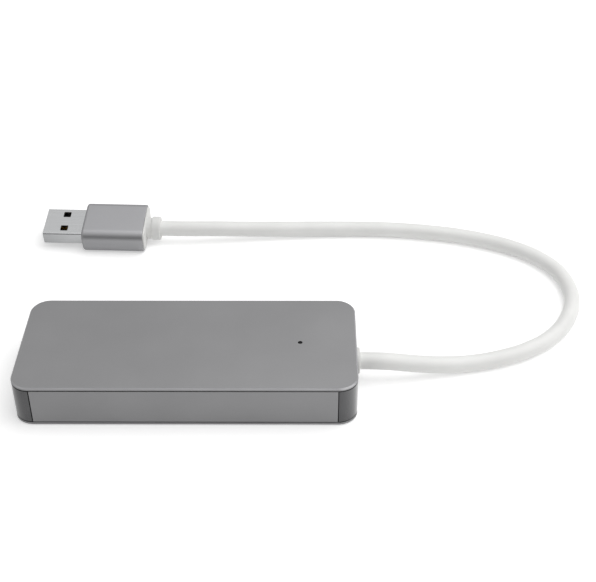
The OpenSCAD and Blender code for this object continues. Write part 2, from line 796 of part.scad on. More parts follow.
// Plan of the four solder legs, grown by o
module video_leg_plan(o) {
    for (x = [0, leg_pitch], sy = [-1, 1])
        translate([video_x + leg_front + x - o, sy * (video_w / 2 + video_wall / 2) - video_wall / 2 - o])
            square([leg_w + 2 * o, video_wall + 2 * o]);
}

module video_leg_slots() {
    video_leg_plan(fit);
}

module video_socket_shell() {
    color(steel) translate([0, video_y, 0]) {
        translate([video_x, 0, video_z]) difference() {
            along_x(video_l) mouth(video_wall);
            translate([-cut, 0, 0]) along_x(video_l + 2 * cut) mouth(0);
        }
        translate([0, 0, board_under]) linear_extrude(video_z - board_under) video_leg_plan(0);
    }
}

module video_socket_tongue() {
    color("black") translate([video_x, video_y, video_z]) difference() {
        union() {
            translate([tongue_set, 0, 0]) bar_x(video_l - tongue_set, tongue_w, tongue_t);
            translate([video_l - tongue_block, 0, 0]) along_x(tongue_block) mouth(0);
        }
        for (up = [-1, 1])
            translate([video_l - tongue_block - cut, 0, up * (tongue_t + contact_t) / 2])
                bar_x(tongue_block + 2 * cut, tongue_w, contact_t);
    }
}

// One contact on the tongue, its tail behind the socket and its foot on the board
module video_contact(z) {
    start = tongue_set + contact_t;
    translate([video_x + start, -contact_w / 2, z - contact_t / 2])
        cube([video_l - start + contact_t, contact_w, contact_t]);
    translate([video_end, -contact_w / 2, board_top])
        cube([contact_t, contact_w, z + contact_t / 2 - board_top]);
    translate([video_end, -contact_w / 2, board_top]) cube([contact_foot, contact_w, contact_t]);
}

module video_socket_contacts() {
    color(gold) translate([0, video_y, 0]) {
        for (i = [0:contact_n - 1])
            translate([0, (i - (contact_n - 1) / 2) * contact_pitch, 0])
                video_contact(video_z + (tongue_t + contact_t) / 2);
        for (i = [0:contact_n - 2])
            translate([0, (i - (contact_n - 2) / 2) * contact_pitch, 0])
                video_contact(video_z - (tongue_t + contact_t) / 2);
    }
}

// Plan of the two legs of the jack's side strips, grown by o
module jack_leg_plan(o) {
    for (sy = [-1, 1])
        translate([-spring_leg / 2 - o, sy * (jack_w + spring_t) / 2 - spring_t / 2 - o])
            square([spring_leg + 2 * o, spring_t + 2 * o]);
}

module jack_leg_slots() {
    jack_leg_plan(fit);
}

module audio_jack_body() {
    color("black") translate([jack_front, jack_y, jack_z]) difference() {
        bar_x(jack_l, jack_w, jack_h);
        translate([-cut, 0, 0]) rod_x(jack_bore, jack_l - jack_end + cut);
    }
}

module audio_jack_bush() {
    bush_l = jack_front - jack_x;
    color(steel) translate([jack_x, jack_y, jack_z]) difference() {
        rod_x(bush_d, bush_l);
        translate([-cut, 0, 0]) rod_x(jack_bore, bush_l + 2 * cut);
    }
}

module audio_jack_springs() {
    middle = jack_front + jack_l / 2;
    color(gold) translate([middle, jack_y, 0]) {
        for (sy = [-1, 1])
            translate([0, sy * (jack_w + spring_t) / 2, jack_z - spring_w / 2])
                block(spring_l, spring_t, spring_w);
        translate([0, 0, board_under]) linear_extrude(jack_z - board_under) jack_leg_plan(0);
        translate([0, 0, board_top + jack_h]) block(spring_l, spring_w, spring_t);
    }
}

module capture_processor() {
    color(chip_black) on_board([processor_x, processor_y]) block(processor_w, processor_w, processor_t);
}

module heat_block() {
    color("silver") translate([processor_x, processor_y, heat_block_z])
        block(heat_block_w, heat_block_w, heat_block_h);
}

module thermal_pads() {
    color("lightblue") translate([processor_x, processor_y, 0]) {
        translate([0, 0, board_top + processor_t]) block(processor_w, processor_w, pad_t);
        translate([0, 0, cover_under - top_pad_t]) block(heat_block_w, heat_block_w, top_pad_t);
    }
}

module video_receiver_chip() {
    color(chip_black) on_board([receiver_x, video_y]) block(receiver_w, receiver_w, receiver_t);
}

module memory_chip() {
    color(chip_black) on_board(memory_at) block(memory_l, memory_w, memory_t);
}

module flash_chip() {
    pins = 4;
    color(chip_black) on_board(flash_at) {
        block(flash_l, flash_w, flash_t);
        for (i = [0:pins - 1])
            translate([(i - (pins - 1) / 2) * flash_pitch, 0, 0])
                block(flash_pin_w, flash_w + 2 * flash_pin_out, flash_pin_w / 2);
    }
}

module audio_codec_chip() {
    color(chip_black) on_board(codec_at) block(codec_w, codec_w, codec_t);
}

module voltage_regulators() {
    color(chip_black) for (at = regulator_at) on_board(at) {
        block(regulator_l, regulator_w, regulator_t);
        block(regulator_l / 2, regulator_w + 2 * regulator_tab_w, regulator_tab_t);
    }
}

module power_inductors() {
    color("dimgray") for (i = [0:inductor_n - 1])
        on_board(inductor_at - [0, i * inductor_pitch])
            rounded_slab(inductor_w, inductor_w, inductor_h, inductor_r);
}

module clock_crystals() {
    color("silver") for (at = crystal_at)
        on_board(at) rounded_slab(crystal_l, crystal_w, crystal_h, crystal_r);
}

module tantalum_capacitors() {
    color("orange") for (at = tantalum_at) on_board(at) block(tantalum_l, tantalum_w, tantalum_h);
}

module ceramic_capacitors() {
    color("tan") for (row = ceramic_rows, i = [0:ceramic_n - 1])
        on_board(row + [(i - (ceramic_n - 1) / 2) * ceramic_pitch, 0])
            block(ceramic_l, ceramic_w, ceramic_w);
}

module chip_resistors() {
    color(chip_black) for (row = resistor_rows, i = [0:resistor_n - 1])
        on_board([board_x0 + row[0], row[1] + (i - (resistor_n - 1) / 2) * resistor_pitch])
            block(resistor_l, resistor_w, resistor_h);
}

// Cable and its parts in the box

module cable_gland() {
    color(cable_white) translate([0, 0, cable_z]) difference() {
        union() {
            translate([body_w / 2, 0, 0]) rod_x(gland_d, gland_l - gland_chamfer);
            translate([gland_end - gland_chamfer, 0, 0]) rotate([0, 90, 0])
                cylinder(d1 = gland_d, d2 = gland_d - 2 * gland_chamfer, h = gland_chamfer);
            translate([gland_start, 0, 0]) rod_x(gland_inner_d, gland_inner_l);
            translate([gland_start, 0, 0]) rod_x(gland_neck_d, gland_end - gland_start - gland_chamfer);
        }
        translate([gland_start - cut, 0, 0]) rod_x(cord_d + 2 * fit, gland_end - gland_start + 2 * cut);
    }
}

module cable_tail() {
    color(cable_white) translate([tail_x, 0, cable_z]) rod_x(cord_d, gland_end - tail_x);
}

module cable_crimp_ring() {
    color(steel) translate([gland_start - crimp_l, 0, cable_z]) difference() {
        rod_x(crimp_d, crimp_l);
        translate([-cut, 0, 0]) rod_x(cord_d + 2 * fit, crimp_l + 2 * cut);
    }
}

// Two wires of one pair, from the cable's end to their places on the board
module wire_pair(k) {
    for (s = [0, 1]) {
        y = (k - (pair_n - 1) / 2) * pair_pitch;
        z = cable_z + (s - 0.5) * pair_step;
        pad_y = (2 * k + s - pair_n + 0.5) * pad_pitch;
        back = [-1, 0, 0];
        path = [
            [tail_x, y, z],
            [tail_x - wire_straight, y, z],
            [pad_x + wire_slope, pad_y, wire_z + wire_drop],
            [pad_x, pad_y, wire_z],
            [pad_x - wire_straight, pad_y, wire_z]
        ];
        tube(path, wire_d, wire_sides, back, back);
    }
}

module power_wires() {
    color("firebrick") wire_pair(0);
}

module slow_pair_wires() {
    color("seagreen") wire_pair(1);
}

module receive_pair_wires() {
    color("royalblue") wire_pair(2);
}

module transmit_pair_wires() {
    color("mediumpurple") wire_pair(3);
}

module free_cable() {
    color(cable_white) tube(cord_route, cord_d, cord_sides, [1, 0, 0], -plug_axis);
}

// Plug at the far end, laid with its collar on the end of the free cable

module plug_place() {
    translate(cord_end) rotate([plug_roll, 0, plug_yaw]) translate([-collar_end, 0, 0]) children();
}

module plug_sleeve() {
    color(aluminium_grey) plug_place() difference() {
        along_x(sleeve_l) rounded_rect(sleeve_w, sleeve_h, sleeve_r);
        translate([sleeve_front, 0, 0]) along_x(sleeve_l)
            rounded_rect(sleeve_w - 2 * sleeve_wall, sleeve_h - 2 * sleeve_wall, sleeve_r - sleeve_wall);
        translate([-cut, 0, 0]) along_x(sleeve_front + 2 * cut)
            rounded_rect(plug_w + 2 * fit, plug_h + 2 * fit, plug_r + fit);
    }
}

// Outline of the space in the sleeve, less the fit
module sleeve_fill() {
    inset = 2 * (sleeve_wall + fit);
    rounded_rect(sleeve_w - inset, sleeve_h - inset, sleeve_r - sleeve_wall - fit);
}

module plug_rear_insert() {
    c = collar_chamfer;
    collar_x = insert_face + neck_l;
    color(cable_white) plug_place() difference() {
        union() {
            translate([mould_end, 0, 0]) along_x(insert_face - mould_end) sleeve_fill();
            translate([sleeve_l, 0, 0]) rod_x(neck_d, collar_x - sleeve_l + c);
            translate([collar_x, 0, 0]) rotate([0, 90, 0]) rotate_extrude()
                polygon([[0, 0], [collar_d / 2 - c, 0], [collar_d / 2, c], [collar_d / 2, collar_l - c],
                    [collar_d / 2 - c, collar_l], [0, collar_l]]);
        }
        translate([mould_end - cut, 0, 0]) rod_x(cord_d + 2 * fit, collar_end - mould_end + 2 * cut);
    }
}

module plug_inner_mould() {
    color("white") plug_place() difference() {
        translate([sleeve_front, 0, 0]) along_x(mould_end - sleeve_front) sleeve_fill();
        translate([sleeve_front - cut, 0, 0]) along_x(plug_sunk - sleeve_front + cut)
            rounded_rect(plug_w + 2 * fit, plug_h + 2 * fit, plug_r + fit);
        translate([plug_tail_x, 0, 0]) rod_x(cord_d + 2 * fit, plug_tail + cut);
    }
}

module plug_shell() {
    color(steel) plug_place() difference() {
        translate([-plug_l, 0, 0]) along_x(plug_l + plug_sunk) rounded_rect(plug_w, plug_h, plug_r);
        translate([-plug_l - cut, 0, 0]) along_x(plug_l + plug_sunk + 2 * cut)
            rounded_rect(plug_w - 2 * plug_wall, plug_h - 2 * plug_wall, plug_r - plug_wall);
        for (sy = [-1, 1])
            translate([window_tip - plug_l, sy * window_pitch / 2, 0])
                bar_x(window_w, window_w, plug_h + cut);
    }
}

module plug_tongue() {
    inset = 2 * (plug_wall + fit);
    tongue_x = plug_tongue_set - plug_l;
    color("black") plug_place() intersection() {
        translate([tongue_x, 0, 0]) along_x(plug_sunk - tongue_x)
            rounded_rect(plug_w - inset, plug_h - inset, plug_r - plug_wall);
        union() {
            translate([tongue_x - cut, -plug_w / 2, tongue_low - cut])
                cube([plug_sunk - tongue_x + 2 * cut, plug_w, plug_tongue_t + cut]);
            translate([0, -plug_w / 2, -plug_h / 2]) cube([plug_sunk + cut, plug_w, plug_h]);
        }
    }
}

module plug_contacts() {
    color(gold) plug_place() for (y = plug_contact_ys)
        translate([plug_contact_set - plug_l, y - plug_contact_w / 2, tongue_top])
            cube([plug_contact_l, plug_contact_w, plug_contact_t]);
}

module plug_fast_contacts() {
    color(gold) plug_place() for (i = [0:fast_n - 1]) {
        y = (i - (fast_n - 1) / 2) * fast_pitch;
        translate([fast_set - plug_l, y - fast_w / 2, tongue_top]) cube([fast_l, fast_w, fast_t]);
    }
}

module plug_cable_tail() {
    color(cable_white) plug_place() translate([plug_tail_x, 0, 0]) rod_x(cord_d, collar_end - plug_tail_x);
}

mid_frame();
top_cover();
cover_tape();
bottom_cover();
cover_screws();
front_side_panel();
rear_side_panel();
light_pipe();
insulating_film();
circuit_board();
board_screws();
indicator_led();
video_socket_shell();
video_socket_tongue();
video_socket_contacts();
audio_jack_body();
audio_jack_bush();
audio_jack_springs();
capture_processor();
heat_block();
thermal_pads();
video_receiver_chip();
memory_chip();
flash_chip();
audio_codec_chip();
voltage_regulators();
power_inductors();
clock_crystals();
tantalum_capacitors();
ceramic_capacitors();
chip_resistors();
cable_gland();
cable_tail();
cable_crimp_ring();
power_wires();
slow_pair_wires();
receive_pair_wires();
transmit_pair_wires();
free_cable();
plug_sleeve();
plug_rear_insert();
plug_inner_mould();
plug_shell();
plug_tongue();
plug_contacts();
plug_fast_contacts();
plug_cable_tail();
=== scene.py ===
"""Slim video capture box with a captive data cable, on a pale studio floor.

The shapes are made in millimetres, in the frame of the solids: X from the port
end to the cable end, Y from front to rear, Z up, with the origin at the middle
of the underside. Each finished piece is brought to metres.
"""
import math

import bmesh
import bpy
from mathutils import Matrix, Vector


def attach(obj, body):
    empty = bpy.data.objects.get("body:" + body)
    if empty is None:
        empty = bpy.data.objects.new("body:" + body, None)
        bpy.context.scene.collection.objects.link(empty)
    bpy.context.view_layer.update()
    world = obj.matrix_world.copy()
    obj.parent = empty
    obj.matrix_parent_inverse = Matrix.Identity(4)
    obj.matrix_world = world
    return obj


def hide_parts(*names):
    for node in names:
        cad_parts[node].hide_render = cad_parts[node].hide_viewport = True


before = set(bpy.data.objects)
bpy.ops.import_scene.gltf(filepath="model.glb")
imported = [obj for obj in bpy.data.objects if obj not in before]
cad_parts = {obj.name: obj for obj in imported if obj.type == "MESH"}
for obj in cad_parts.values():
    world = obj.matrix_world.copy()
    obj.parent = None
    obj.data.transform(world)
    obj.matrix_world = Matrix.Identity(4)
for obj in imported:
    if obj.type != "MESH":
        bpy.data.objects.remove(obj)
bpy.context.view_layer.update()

# One millimetre in metres. Points closer together than a sliver, in millimetres, are one point.
MM, SLIVER = 0.001, 0.002

# Cutters reach this far past what they cut. A face looks along an axis where its normal has more
# than this share of it.
PAST, FACING = 1.0, 0.99

# Camera of the photograph: focal length and picture width in pixels, place, and turns in degrees
FOCAL_PX, PICTURE_PX, SENSOR_MM = 1207.8, 596, 36.0
CAMERA_PLACE = (33.057, -262.132, 225.939)
CAMERA_DOWN, CAMERA_YAW, CAMERA_ROLL = 36.6344, 0.5245, -0.2734

# Box: half sizes, plan radius of the corners, chamfer and edge of the covers, heights of the layers
HALF_W, HALF_D, TOP = 47.0, 19.7, 13.1
CORNER, CORNER_STEPS, RIM, COVER_EDGE = 5.4, 18, 0.35, 0.08
COVER_UNDER, FRAME_TOP, FRAME_LOW, BASE_TOP = 12.3, 12.05, 1.2, 1.0
SIDE_MID = (FRAME_LOW + FRAME_TOP) / 2

# Frame: its edge, the step under it, the cavity, and the rails and bosses that carry the board and
# go a little into the wall
FRAME_EDGE, FRAME_STEP = 0.2, 0.6
CAVITY_X, CAVITY_Y, CAVITY_R = 45.2, 17.3, 3.6
END_WALL = HALF_W - CAVITY_X
BOARD_UNDER, RAIL_START, RAIL_END, RAIL_T, WALL_BITE = 2.8, -41.2, 38.0, 1.2, 0.4
BOSS_XS, BOSS_Y, BOSS_R = (-30.9, 33.5), 14.1, 2.2

# Screw posts: each stops a hair short of the frame's faces, because flush faces join raggedly
POST_X, POST_Y, POST_R, POST_SHY = 43.7, 15.8, 1.9, 0.05
SCREW_PLACES = [(x, y) for x in (-POST_X, POST_X) for y in (-POST_Y, POST_Y)]
SCREW_HOLE_R, POST_HOLE_TOP = 1.05, 6.05

# Side strips: half length, thickness, play at each end and edge. The recess in the frame widens
# outwards, so that a fine dark line shows beside a strip.
STRIP_X, STRIP_T, STRIP_PLAY, STRIP_EDGE = 41.5, 1.0, 0.1, 0.12
RECESS_REACH, RECESS_FLARE = 3.0, 1.014
STUD_XS, STUD_R, STUD_HOLE_R, STUD_L, STUD_ROOT = (-28.0, 0.0, 28.0), 1.0, 1.05, 1.4, 0.2

# Ports, light and cable exit
VIDEO_Y, VIDEO_Z, VIDEO_FRONT, VIDEO_REAR = 4.15, 6.725, -46.7, -35.2
VIDEO_W, VIDEO_H, VIDEO_CUT_W, VIDEO_CUT_H, VIDEO_WALL = 14.0, 4.55, 1.9, 1.6, 0.35
VIDEO_BEND, VIDEO_LIP, VIDEO_PLAY, VIDEO_HOLE_R = 0.45, 0.1, 0.25, 0.5
JACK_Y, JACK_Z, JACK_HOLE_R = -8.05, 6.4, 3.05
PORT_LIP, PORT_REACH = 0.18, 4.2
LIGHT_X, LIGHT_HOLE_R = 31.2, 0.65
CABLE_Z, CABLE_R, GLAND_HOLE_R = 6.55, 2.5, 3.25

# Plug, along X from the front face of its sleeve
SLEEVE_L, SLEEVE_W, SLEEVE_H, SLEEVE_R = 20.0, 16.8, 8.4, 2.9
SLEEVE_NOSE, SLEEVE_LIP, SLEEVE_WALL, SLEEVE_FRONT = 0.9, 0.22, 0.6, 1.0
MOUTH_L, MOUTH_SUNK, MOUTH_W, MOUTH_H, MOUTH_R = 13.0, 6.0, 12.0, 4.5, 0.6
MOUTH_WALL, MOUTH_LIP, MOUTH_PLAY = 0.3, 0.09, 0.05
INSERT_START, INSERT_END, INSERT_W, INSERT_H = 18.4, 20.5, 15.5, 7.1
INSERT_R, INSERT_EDGE = 2.25, 0.25
COLLAR_START, COLLAR_END, BORE_R = 22.2, 25.0, 2.55

# Place of the plug on the floor: its collar ends where the cable does
PLUG_PLACE = (
    Matrix.Translation((-15.0, 69.4, 5.14))
    @ Matrix.Rotation(math.radians(-2.25), 4, "Z")
    @ Matrix.Rotation(math.radians(10.0), 4, "X")
    @ Matrix.Translation((-COLLAR_END, 0.0, 0.0))
)

# Middle line of the free cable, from the gland's face to the plug's collar
CABLE_ROUTE = [
    (48, 0, 6.55), (56, 0, 6.25), (64, 0.6, 4.9), (72.5, 2.1, 3.3), (81, 3.8, 2.5), (90, 6.3, 2.5),
    (98.1, 10.1, 2.5), (105, 15.5, 2.5), (110.3, 22.6, 2.5), (113.6, 30.8, 2.5), (114.4, 39.7, 2.5),
    (112.4, 48.4, 2.5), (107.5, 55.8, 2.5), (100.5, 61.5, 2.5), (92.1, 65.7, 2.5), (83.1, 68.8, 2.5),
    (73.4, 70.9, 2.5), (63.3, 72.3, 2.5), (53, 72.9, 2.5), (42.8, 72.9, 2.6), (32.6, 72.4, 2.9),
    (22.4, 71.6, 3.4), (12, 70.7, 4), (2, 69.8, 4.7), (-7, 69.2, 5.1), (-15, 69.4, 5.14),
]

# Pieces turn smooth where their faces meet at less than this, in degrees
SMOOTH_BELOW = 32

# Studio: side of the floor in metres, and the soft light from all round
FLOOR_SIZE, SOFT_LIGHT = 6.0, 0.38


def set_camera():
    """Camera of the photograph, which looks down on the box from the front."""
    lens = bpy.data.cameras.new("photo_camera")
    lens.sensor_width = SENSOR_MM
    lens.lens = FOCAL_PX / PICTURE_PX * SENSOR_MM
    lens.clip_start, lens.clip_end = 0.01, 20.0
    camera = bpy.data.objects.new("photo_camera", lens)
    bpy.context.scene.collection.objects.link(camera)
    camera.matrix_world = (
        Matrix.Translation(Vector(CAMERA_PLACE) * MM)
        @ Matrix.Rotation(math.radians(CAMERA_YAW), 4, "Z")
        @ Matrix.Rotation(math.radians(90 - CAMERA_DOWN), 4, "X")
        @ Matrix.Rotation(math.radians(CAMERA_ROLL), 4, "Z")
    )
    bpy.context.scene.camera = camera


# Finishes

def linear(colour):
    """Linear colour of an sRGB hex value."""
    parts = [int(colour[i:i + 2], 16) / 255 for i in (1, 3, 5)]
    return (*[c / 12.92 if c <= 0.04045 else ((c + 0.055) / 1.055) ** 2.4 for c in parts], 1.0)


def add_node(tree, kind, inputs=None, **settings):
    """Adds a node with its settings. An input is a value or another node's output."""
    made = tree.nodes.new(kind)
    for key, value in settings.items():
        setattr(made, key, value)
    for key, value in (inputs or {}).items():
        if isinstance(value, bpy.types.NodeSocket):
            tree.links.new(value, made.inputs[key])
        else:
            made.inputs[key].default_value = value
    return made


def per_metre(size_mm):
    """Scale of a pattern whose features are this many millimetres apart."""
    return 1.0 / (size_mm * MM)


def start_finish(name, metallic=0.0, ior=1.5):
    """New finish: its node tree, its surface shader and the piece's coordinates."""
    finish = bpy.data.materials.new(name)
    finish.use_nodes = True
    tree = finish.node_tree
    shader = tree.nodes["Principled BSDF"]
    shader.inputs["Metallic"].default_value = metallic
    shader.inputs["IOR"].default_value = ior
    coords = add_node(tree, "ShaderNodeTexCoord").outputs["Object"]
    return finish, tree, shader, coords


def spread_finish(tree, shader, tint, tones, grain, roughness, depth_mm, relief=0.3):
    """Runs the colour over one pattern, and the roughness and the relief over another."""
    ramp = add_node(tree, "ShaderNodeValToRGB", {"Fac": tint})
    for stop, place, tone in zip(ramp.color_ramp.elements, (0.3, 0.7), tones):
        stop.position, stop.color = place, linear(tone)
    rough = add_node(
        tree, "ShaderNodeMapRange", {"Value": grain, "To Min": roughness[0], "To Max": roughness[1]}
    )
    bump = add_node(
        tree, "ShaderNodeBump", {"Height": grain, "Distance": depth_mm * MM, "Strength": relief}
    )
    tree.links.new(ramp.outputs["Color"], shader.inputs["Base Color"])
    tree.links.new(rough.outputs["Result"], shader.inputs["Roughness"])
    tree.links.new(bump.outputs["Normal"], shader.inputs["Normal"])


def bead_blasted_aluminium(name, dark, light, roughness):
    """Aluminium, bead blasted and anodised in a grey bath: an even satin with a fine salt-like grain
    and faint clouds of the bath. The real grain is about 0.08 mm and is drawn at 0.3 mm to show."""
    finish, tree, shader, coords = start_finish(name, metallic=1.0)
    grain = add_node(
        tree, "ShaderNodeTexNoise", {"Vector": coords, "Scale": per_metre(0.3), "Detail": 3.0}
    ).outputs["Fac"]
    clouds = add_node(
        tree, "ShaderNodeTexNoise", {"Vector": coords, "Scale": per_metre(22), "Detail": 2.0}
    ).outputs["Fac"]
    bath = add_node(tree, "ShaderNodeMath", {0: clouds, 1: 0.6}, operation="MULTIPLY").outputs[0]
    tint = add_node(
        tree, "ShaderNodeMath", {0: grain, 1: 0.4, 2: bath}, operation="MULTIPLY_ADD"
    ).outputs[0]
    spread_finish(tree, shader, tint, (dark, light), grain, roughness, depth_mm=0.010, relief=0.25)
    return finish


def drawn_metal(name, dark, light, roughness, line_mm=0.4, along="X"):
    """Sheet or bar with fine lines along the way it was rolled, cut or drawn, which stretch its
    highlights. Real lines are a few hundredths of a millimetre and are drawn coarser to show."""
    finish, tree, shader, coords = start_finish(name, metallic=1.0)
    stretch = [1.0, 1.0, 1.0]
    stretch["XYZ".index(along)] = 0.04
    lined = add_node(tree, "ShaderNodeMapping", {"Vector": coords, "Scale": stretch}).outputs[0]
    lines = add_node(
        tree, "ShaderNodeTexNoise", {"Vector": lined, "Scale": per_metre(line_mm), "Detail": 4.0}
    ).outputs["Fac"]
    spread_finish(tree, shader, lines, (dark, light), lines, roughness, depth_mm=0.006, relief=0.2)
    return finish


def moulded(name, dark, light, roughness, grain_mm, depth_mm=0.01, ior=1.5, skin=0.0):
    """Moulded or cast piece that copies the spark-eroded grain of its mould: a soft, even sheen, with
    a thin glossier skin over it where the melt froze against a polished wall."""
    finish, tree, shader, coords = start_finish(name, ior=ior)
    shader.inputs["Coat Weight"].default_value = skin
    shader.inputs["Coat Roughness"].default_value = 0.12
    grain = add_node(
        tree, "ShaderNodeTexNoise", {"Vector": coords, "Scale": per_metre(grain_mm), "Detail": 3.0}
    ).outputs["Fac"]
    flow = add_node(
        tree, "ShaderNodeTexNoise", {"Vector": coords, "Scale": per_metre(9), "Detail": 2.0}
    ).outputs["Fac"]
    spread_finish(tree, shader, flow, (dark, light), grain, roughness, depth_mm)
    return finish


def solder_mask():
    """Glass laminate under green solder mask: lacquer gloss over fields of copper that show lighter."""
    finish, tree, shader, coords = start_finish("solder_mask_laminate")
    fields = add_node(
        tree,
        "ShaderNodeTexBrick",
        {"Vector": coords, "Scale": per_metre(3), "Mortar Size": 0.08, "Color1": (0, 0, 0, 1),
         "Color2": (0.6, 0.6, 0.6, 1), "Mortar": (1, 1, 1, 1)},
    ).outputs["Color"]
    weave = add_node(
        tree, "ShaderNodeTexNoise", {"Vector": coords, "Scale": per_metre(0.5), "Detail": 2.0}
    ).outputs["Fac"]
    spread_finish(tree, shader, fields, ("#0c3f22", "#1a6a3a"), weave, (0.25, 0.38), depth_mm=0.01)
    return finish


def make_finishes():
    """All finishes, under the names that the pieces use."""
    return {
        # Covers and side strips: satin grey metal
        "anodised_grey": bead_blasted_aluminium(
            "bead_blasted_anodised_aluminium", "#828283", "#89898a", (0.40, 0.50)
        ),
        # Sleeve of the plug: the same aluminium as the box, given a lighter tone as painted light for
        # the brighter light on the sleeve
        "sleeve_grey_painted_lighter": bead_blasted_aluminium(
            "bead_blasted_sleeve_aluminium_painted_lighter", "#8f8f91", "#979799", (0.44, 0.52)
        ),
        # Rim of the top cover, cut bright with a diamond tool after the blasting
        "cut_rim": drawn_metal("diamond_cut_aluminium", "#9c9c9e", "#a8a8aa", (0.34, 0.42)),
        # Plug mouth, sockets and crimp ring: bright nickel on rolled steel sheet
        "nickel_sheet": drawn_metal("nickel_plated_steel", "#adaeaf", "#b3b4b5", (0.22, 0.28)),
        # Screws: zinc on cold headed steel
        "screw_zinc": drawn_metal("zinc_plated_steel", "#9b9da0", "#b4b6b8", (0.28, 0.40), 0.2, "Z"),
        # Contacts: thin gold over nickel, burnished by the punch
        "contact_gold": drawn_metal("gold_flashed_bronze", "#d3a548", "#e6bf68", (0.18, 0.28), 0.15),
        # Heat block: milled, with the lines of the cutter
        "milled_block": drawn_metal("milled_aluminium", "#b9babb", "#cfd0d1", (0.25, 0.40), 0.5, "Y"),
        # Crystal cans: drawn and nickel plated
        "crystal_can": drawn_metal("drawn_nickel_can", "#b4b5b6", "#c9cacb", (0.20, 0.30), 0.2),
        # Frame: ABS blend, dark grey, from a fine spark-eroded mould
        "frame_abs": moulded(
            "moulded_grey_abs", "#2f2f32", "#363639", (0.17, 0.25), 0.35, 0.006, ior=1.58, skin=0.4
        ),
        # Gland, insert and collar: soft white PVC moulded round the cable, drawn greyer than the cable
        # as painted shade round the neck and gland
        "white_pvc": moulded("moulded_white_pvc_painted_shade", "#e3e3e1", "#ebebe9", (0.38, 0.48), 0.5, 0.008),
        # Cable: white PVC, extruded, a little softer in gloss than the moulded pieces
        "cable_pvc": moulded("extruded_white_pvc", "#eeeeec", "#f4f4f2", (0.42, 0.52), 0.8, 0.012),
        # Socket bodies and plug tongue: black glass-filled polymer
        "socket_lcp": moulded("glass_filled_black_polymer", "#161617", "#1f1f20", (0.42, 0.55), 0.3),
        # Chips: black epoxy, dull from the transfer mould
        "chip_epoxy": moulded("transfer_moulded_epoxy", "#19191b", "#242426", (0.50, 0.64), 0.2),
        # Film under the board: black polyester, smooth from the roll
        "film_polyester": moulded("black_polyester_film", "#101011", "#171718", (0.22, 0.34), 1.5),
        # Ring under the top cover: grey acrylic foam, dull at its cut edge
        "foam_tape": moulded("acrylic_foam_tape", "#242425", "#333334", (0.75, 0.9), 0.3, 0.03),
        # Pads: filled silicone, waxy
        "silicone_pad": moulded("filled_silicone_pad", "#7d95a8", "#8da4b5", (0.55, 0.7), 0.6, 0.02),
        # Light pipe: smoked acrylic with a polished tip
        "smoked_acrylic": moulded("smoked_acrylic", "#08080a", "#0e0e10", (0.08, 0.14), 2.0, 0.001),
        # Lamp: milky resin over the chip
        "lamp_resin": moulded("milky_resin", "#e4e2cf", "#f0eee0", (0.25, 0.35), 0.4),
        # Inductors: pressed iron powder
        "ferrite": moulded("pressed_ferrite", "#3c3d3f", "#4a4b4d", (0.6, 0.75), 0.25, 0.02),
        # Tantalum capacitors: orange epoxy
        "tantalum_epoxy": moulded("orange_epoxy", "#c8862a", "#d69638", (0.4, 0.5), 0.4),
        # Ceramic capacitors: fired tan body
        "fired_ceramic": moulded("fired_ceramic", "#a08561", "#b59a74", (0.35, 0.5), 0.3),
        # Inner mould of the plug: natural polyolefin
        "inner_mould": moulded("natural_polyolefin", "#d9d8d2", "#e4e3de", (0.45, 0.55), 0.5),
        # Wires: extruded polyolefin in the four usual colours
        "wire_red": moulded("red_wire_insulation", "#a11d1f", "#b32528", (0.35, 0.45), 0.5),
        "wire_green": moulded("green_wire_insulation", "#1f7a42", "#278a4c", (0.35, 0.45), 0.5),
        "wire_blue": moulded("blue_wire_insulation", "#2350a6", "#2b5cb6", (0.35, 0.45), 0.5),
        "wire_violet": moulded("violet_wire_insulation", "#6a4a9c", "#7757ab", (0.35, 0.45), 0.5),
        # Circuit board
        "solder_mask": solder_mask(),
    }


# Modelling aids

def take_in_hand(*pieces):
    """Back to object mode, with only these pieces selected and the first one active."""
    if bpy.context.object and bpy.context.object.mode != "OBJECT":
        bpy.ops.object.mode_set(mode="OBJECT")
    bpy.ops.object.select_all(action="DESELECT")
    for piece in pieces:
        piece.select_set(True)
    if pieces:
        bpy.context.view_layer.objects.active = pieces[0]


def open_mesh(piece):
    """Takes the piece in hand and goes to edit mode."""
    take_in_hand(piece)
    bpy.ops.object.mode_set(mode="EDIT")


def name_new(name):
    """Names the primitive that was just added, with its place brought into its mesh."""
    bpy.ops.object.transform_apply(location=True, rotation=True, scale=True)
    piece = bpy.context.object
    piece.name = piece.data.name = name
    return piece


def block(name, low, high):
    """Plain block between two corners, the start of many pieces."""
    take_in_hand()
    low, high = Vector(low), Vector(high)
    bpy.ops.mesh.primitive_cube_add(size=1, location=(low + high) / 2, scale=high - low)
    return name_new(name)


def bar(name, centre, radius, length, axis="Z", sides=48):
    """Round bar from a point along an axis."""
    take_in_hand()
    way = {"X": Vector((1, 0, 0)), "Y": Vector((0, 1, 0)), "Z": Vector((0, 0, 1))}[axis]
    turn = {"X": (0, math.pi / 2, 0), "Y": (-math.pi / 2, 0, 0), "Z": (0, 0, 0)}[axis]
    bpy.ops.mesh.primitive_cylinder_add(
        vertices=sides, radius=radius, depth=length,
        location=Vector(centre) + way * length / 2, rotation=turn,
    )
    return name_new(name)


def pick_edges(test):
    """Selects the edges whose two ends pass a test of place."""
    bpy.ops.mesh.select_mode(type="EDGE")
    bpy.ops.mesh.select_all(action="DESELECT")
    mesh = bmesh.from_edit_mesh(bpy.context.object.data)
    for edge in mesh.edges:
        if test(*[v.co for v in edge.verts]):
            edge.select_set(True)
    bmesh.update_edit_mesh(bpy.context.object.data)


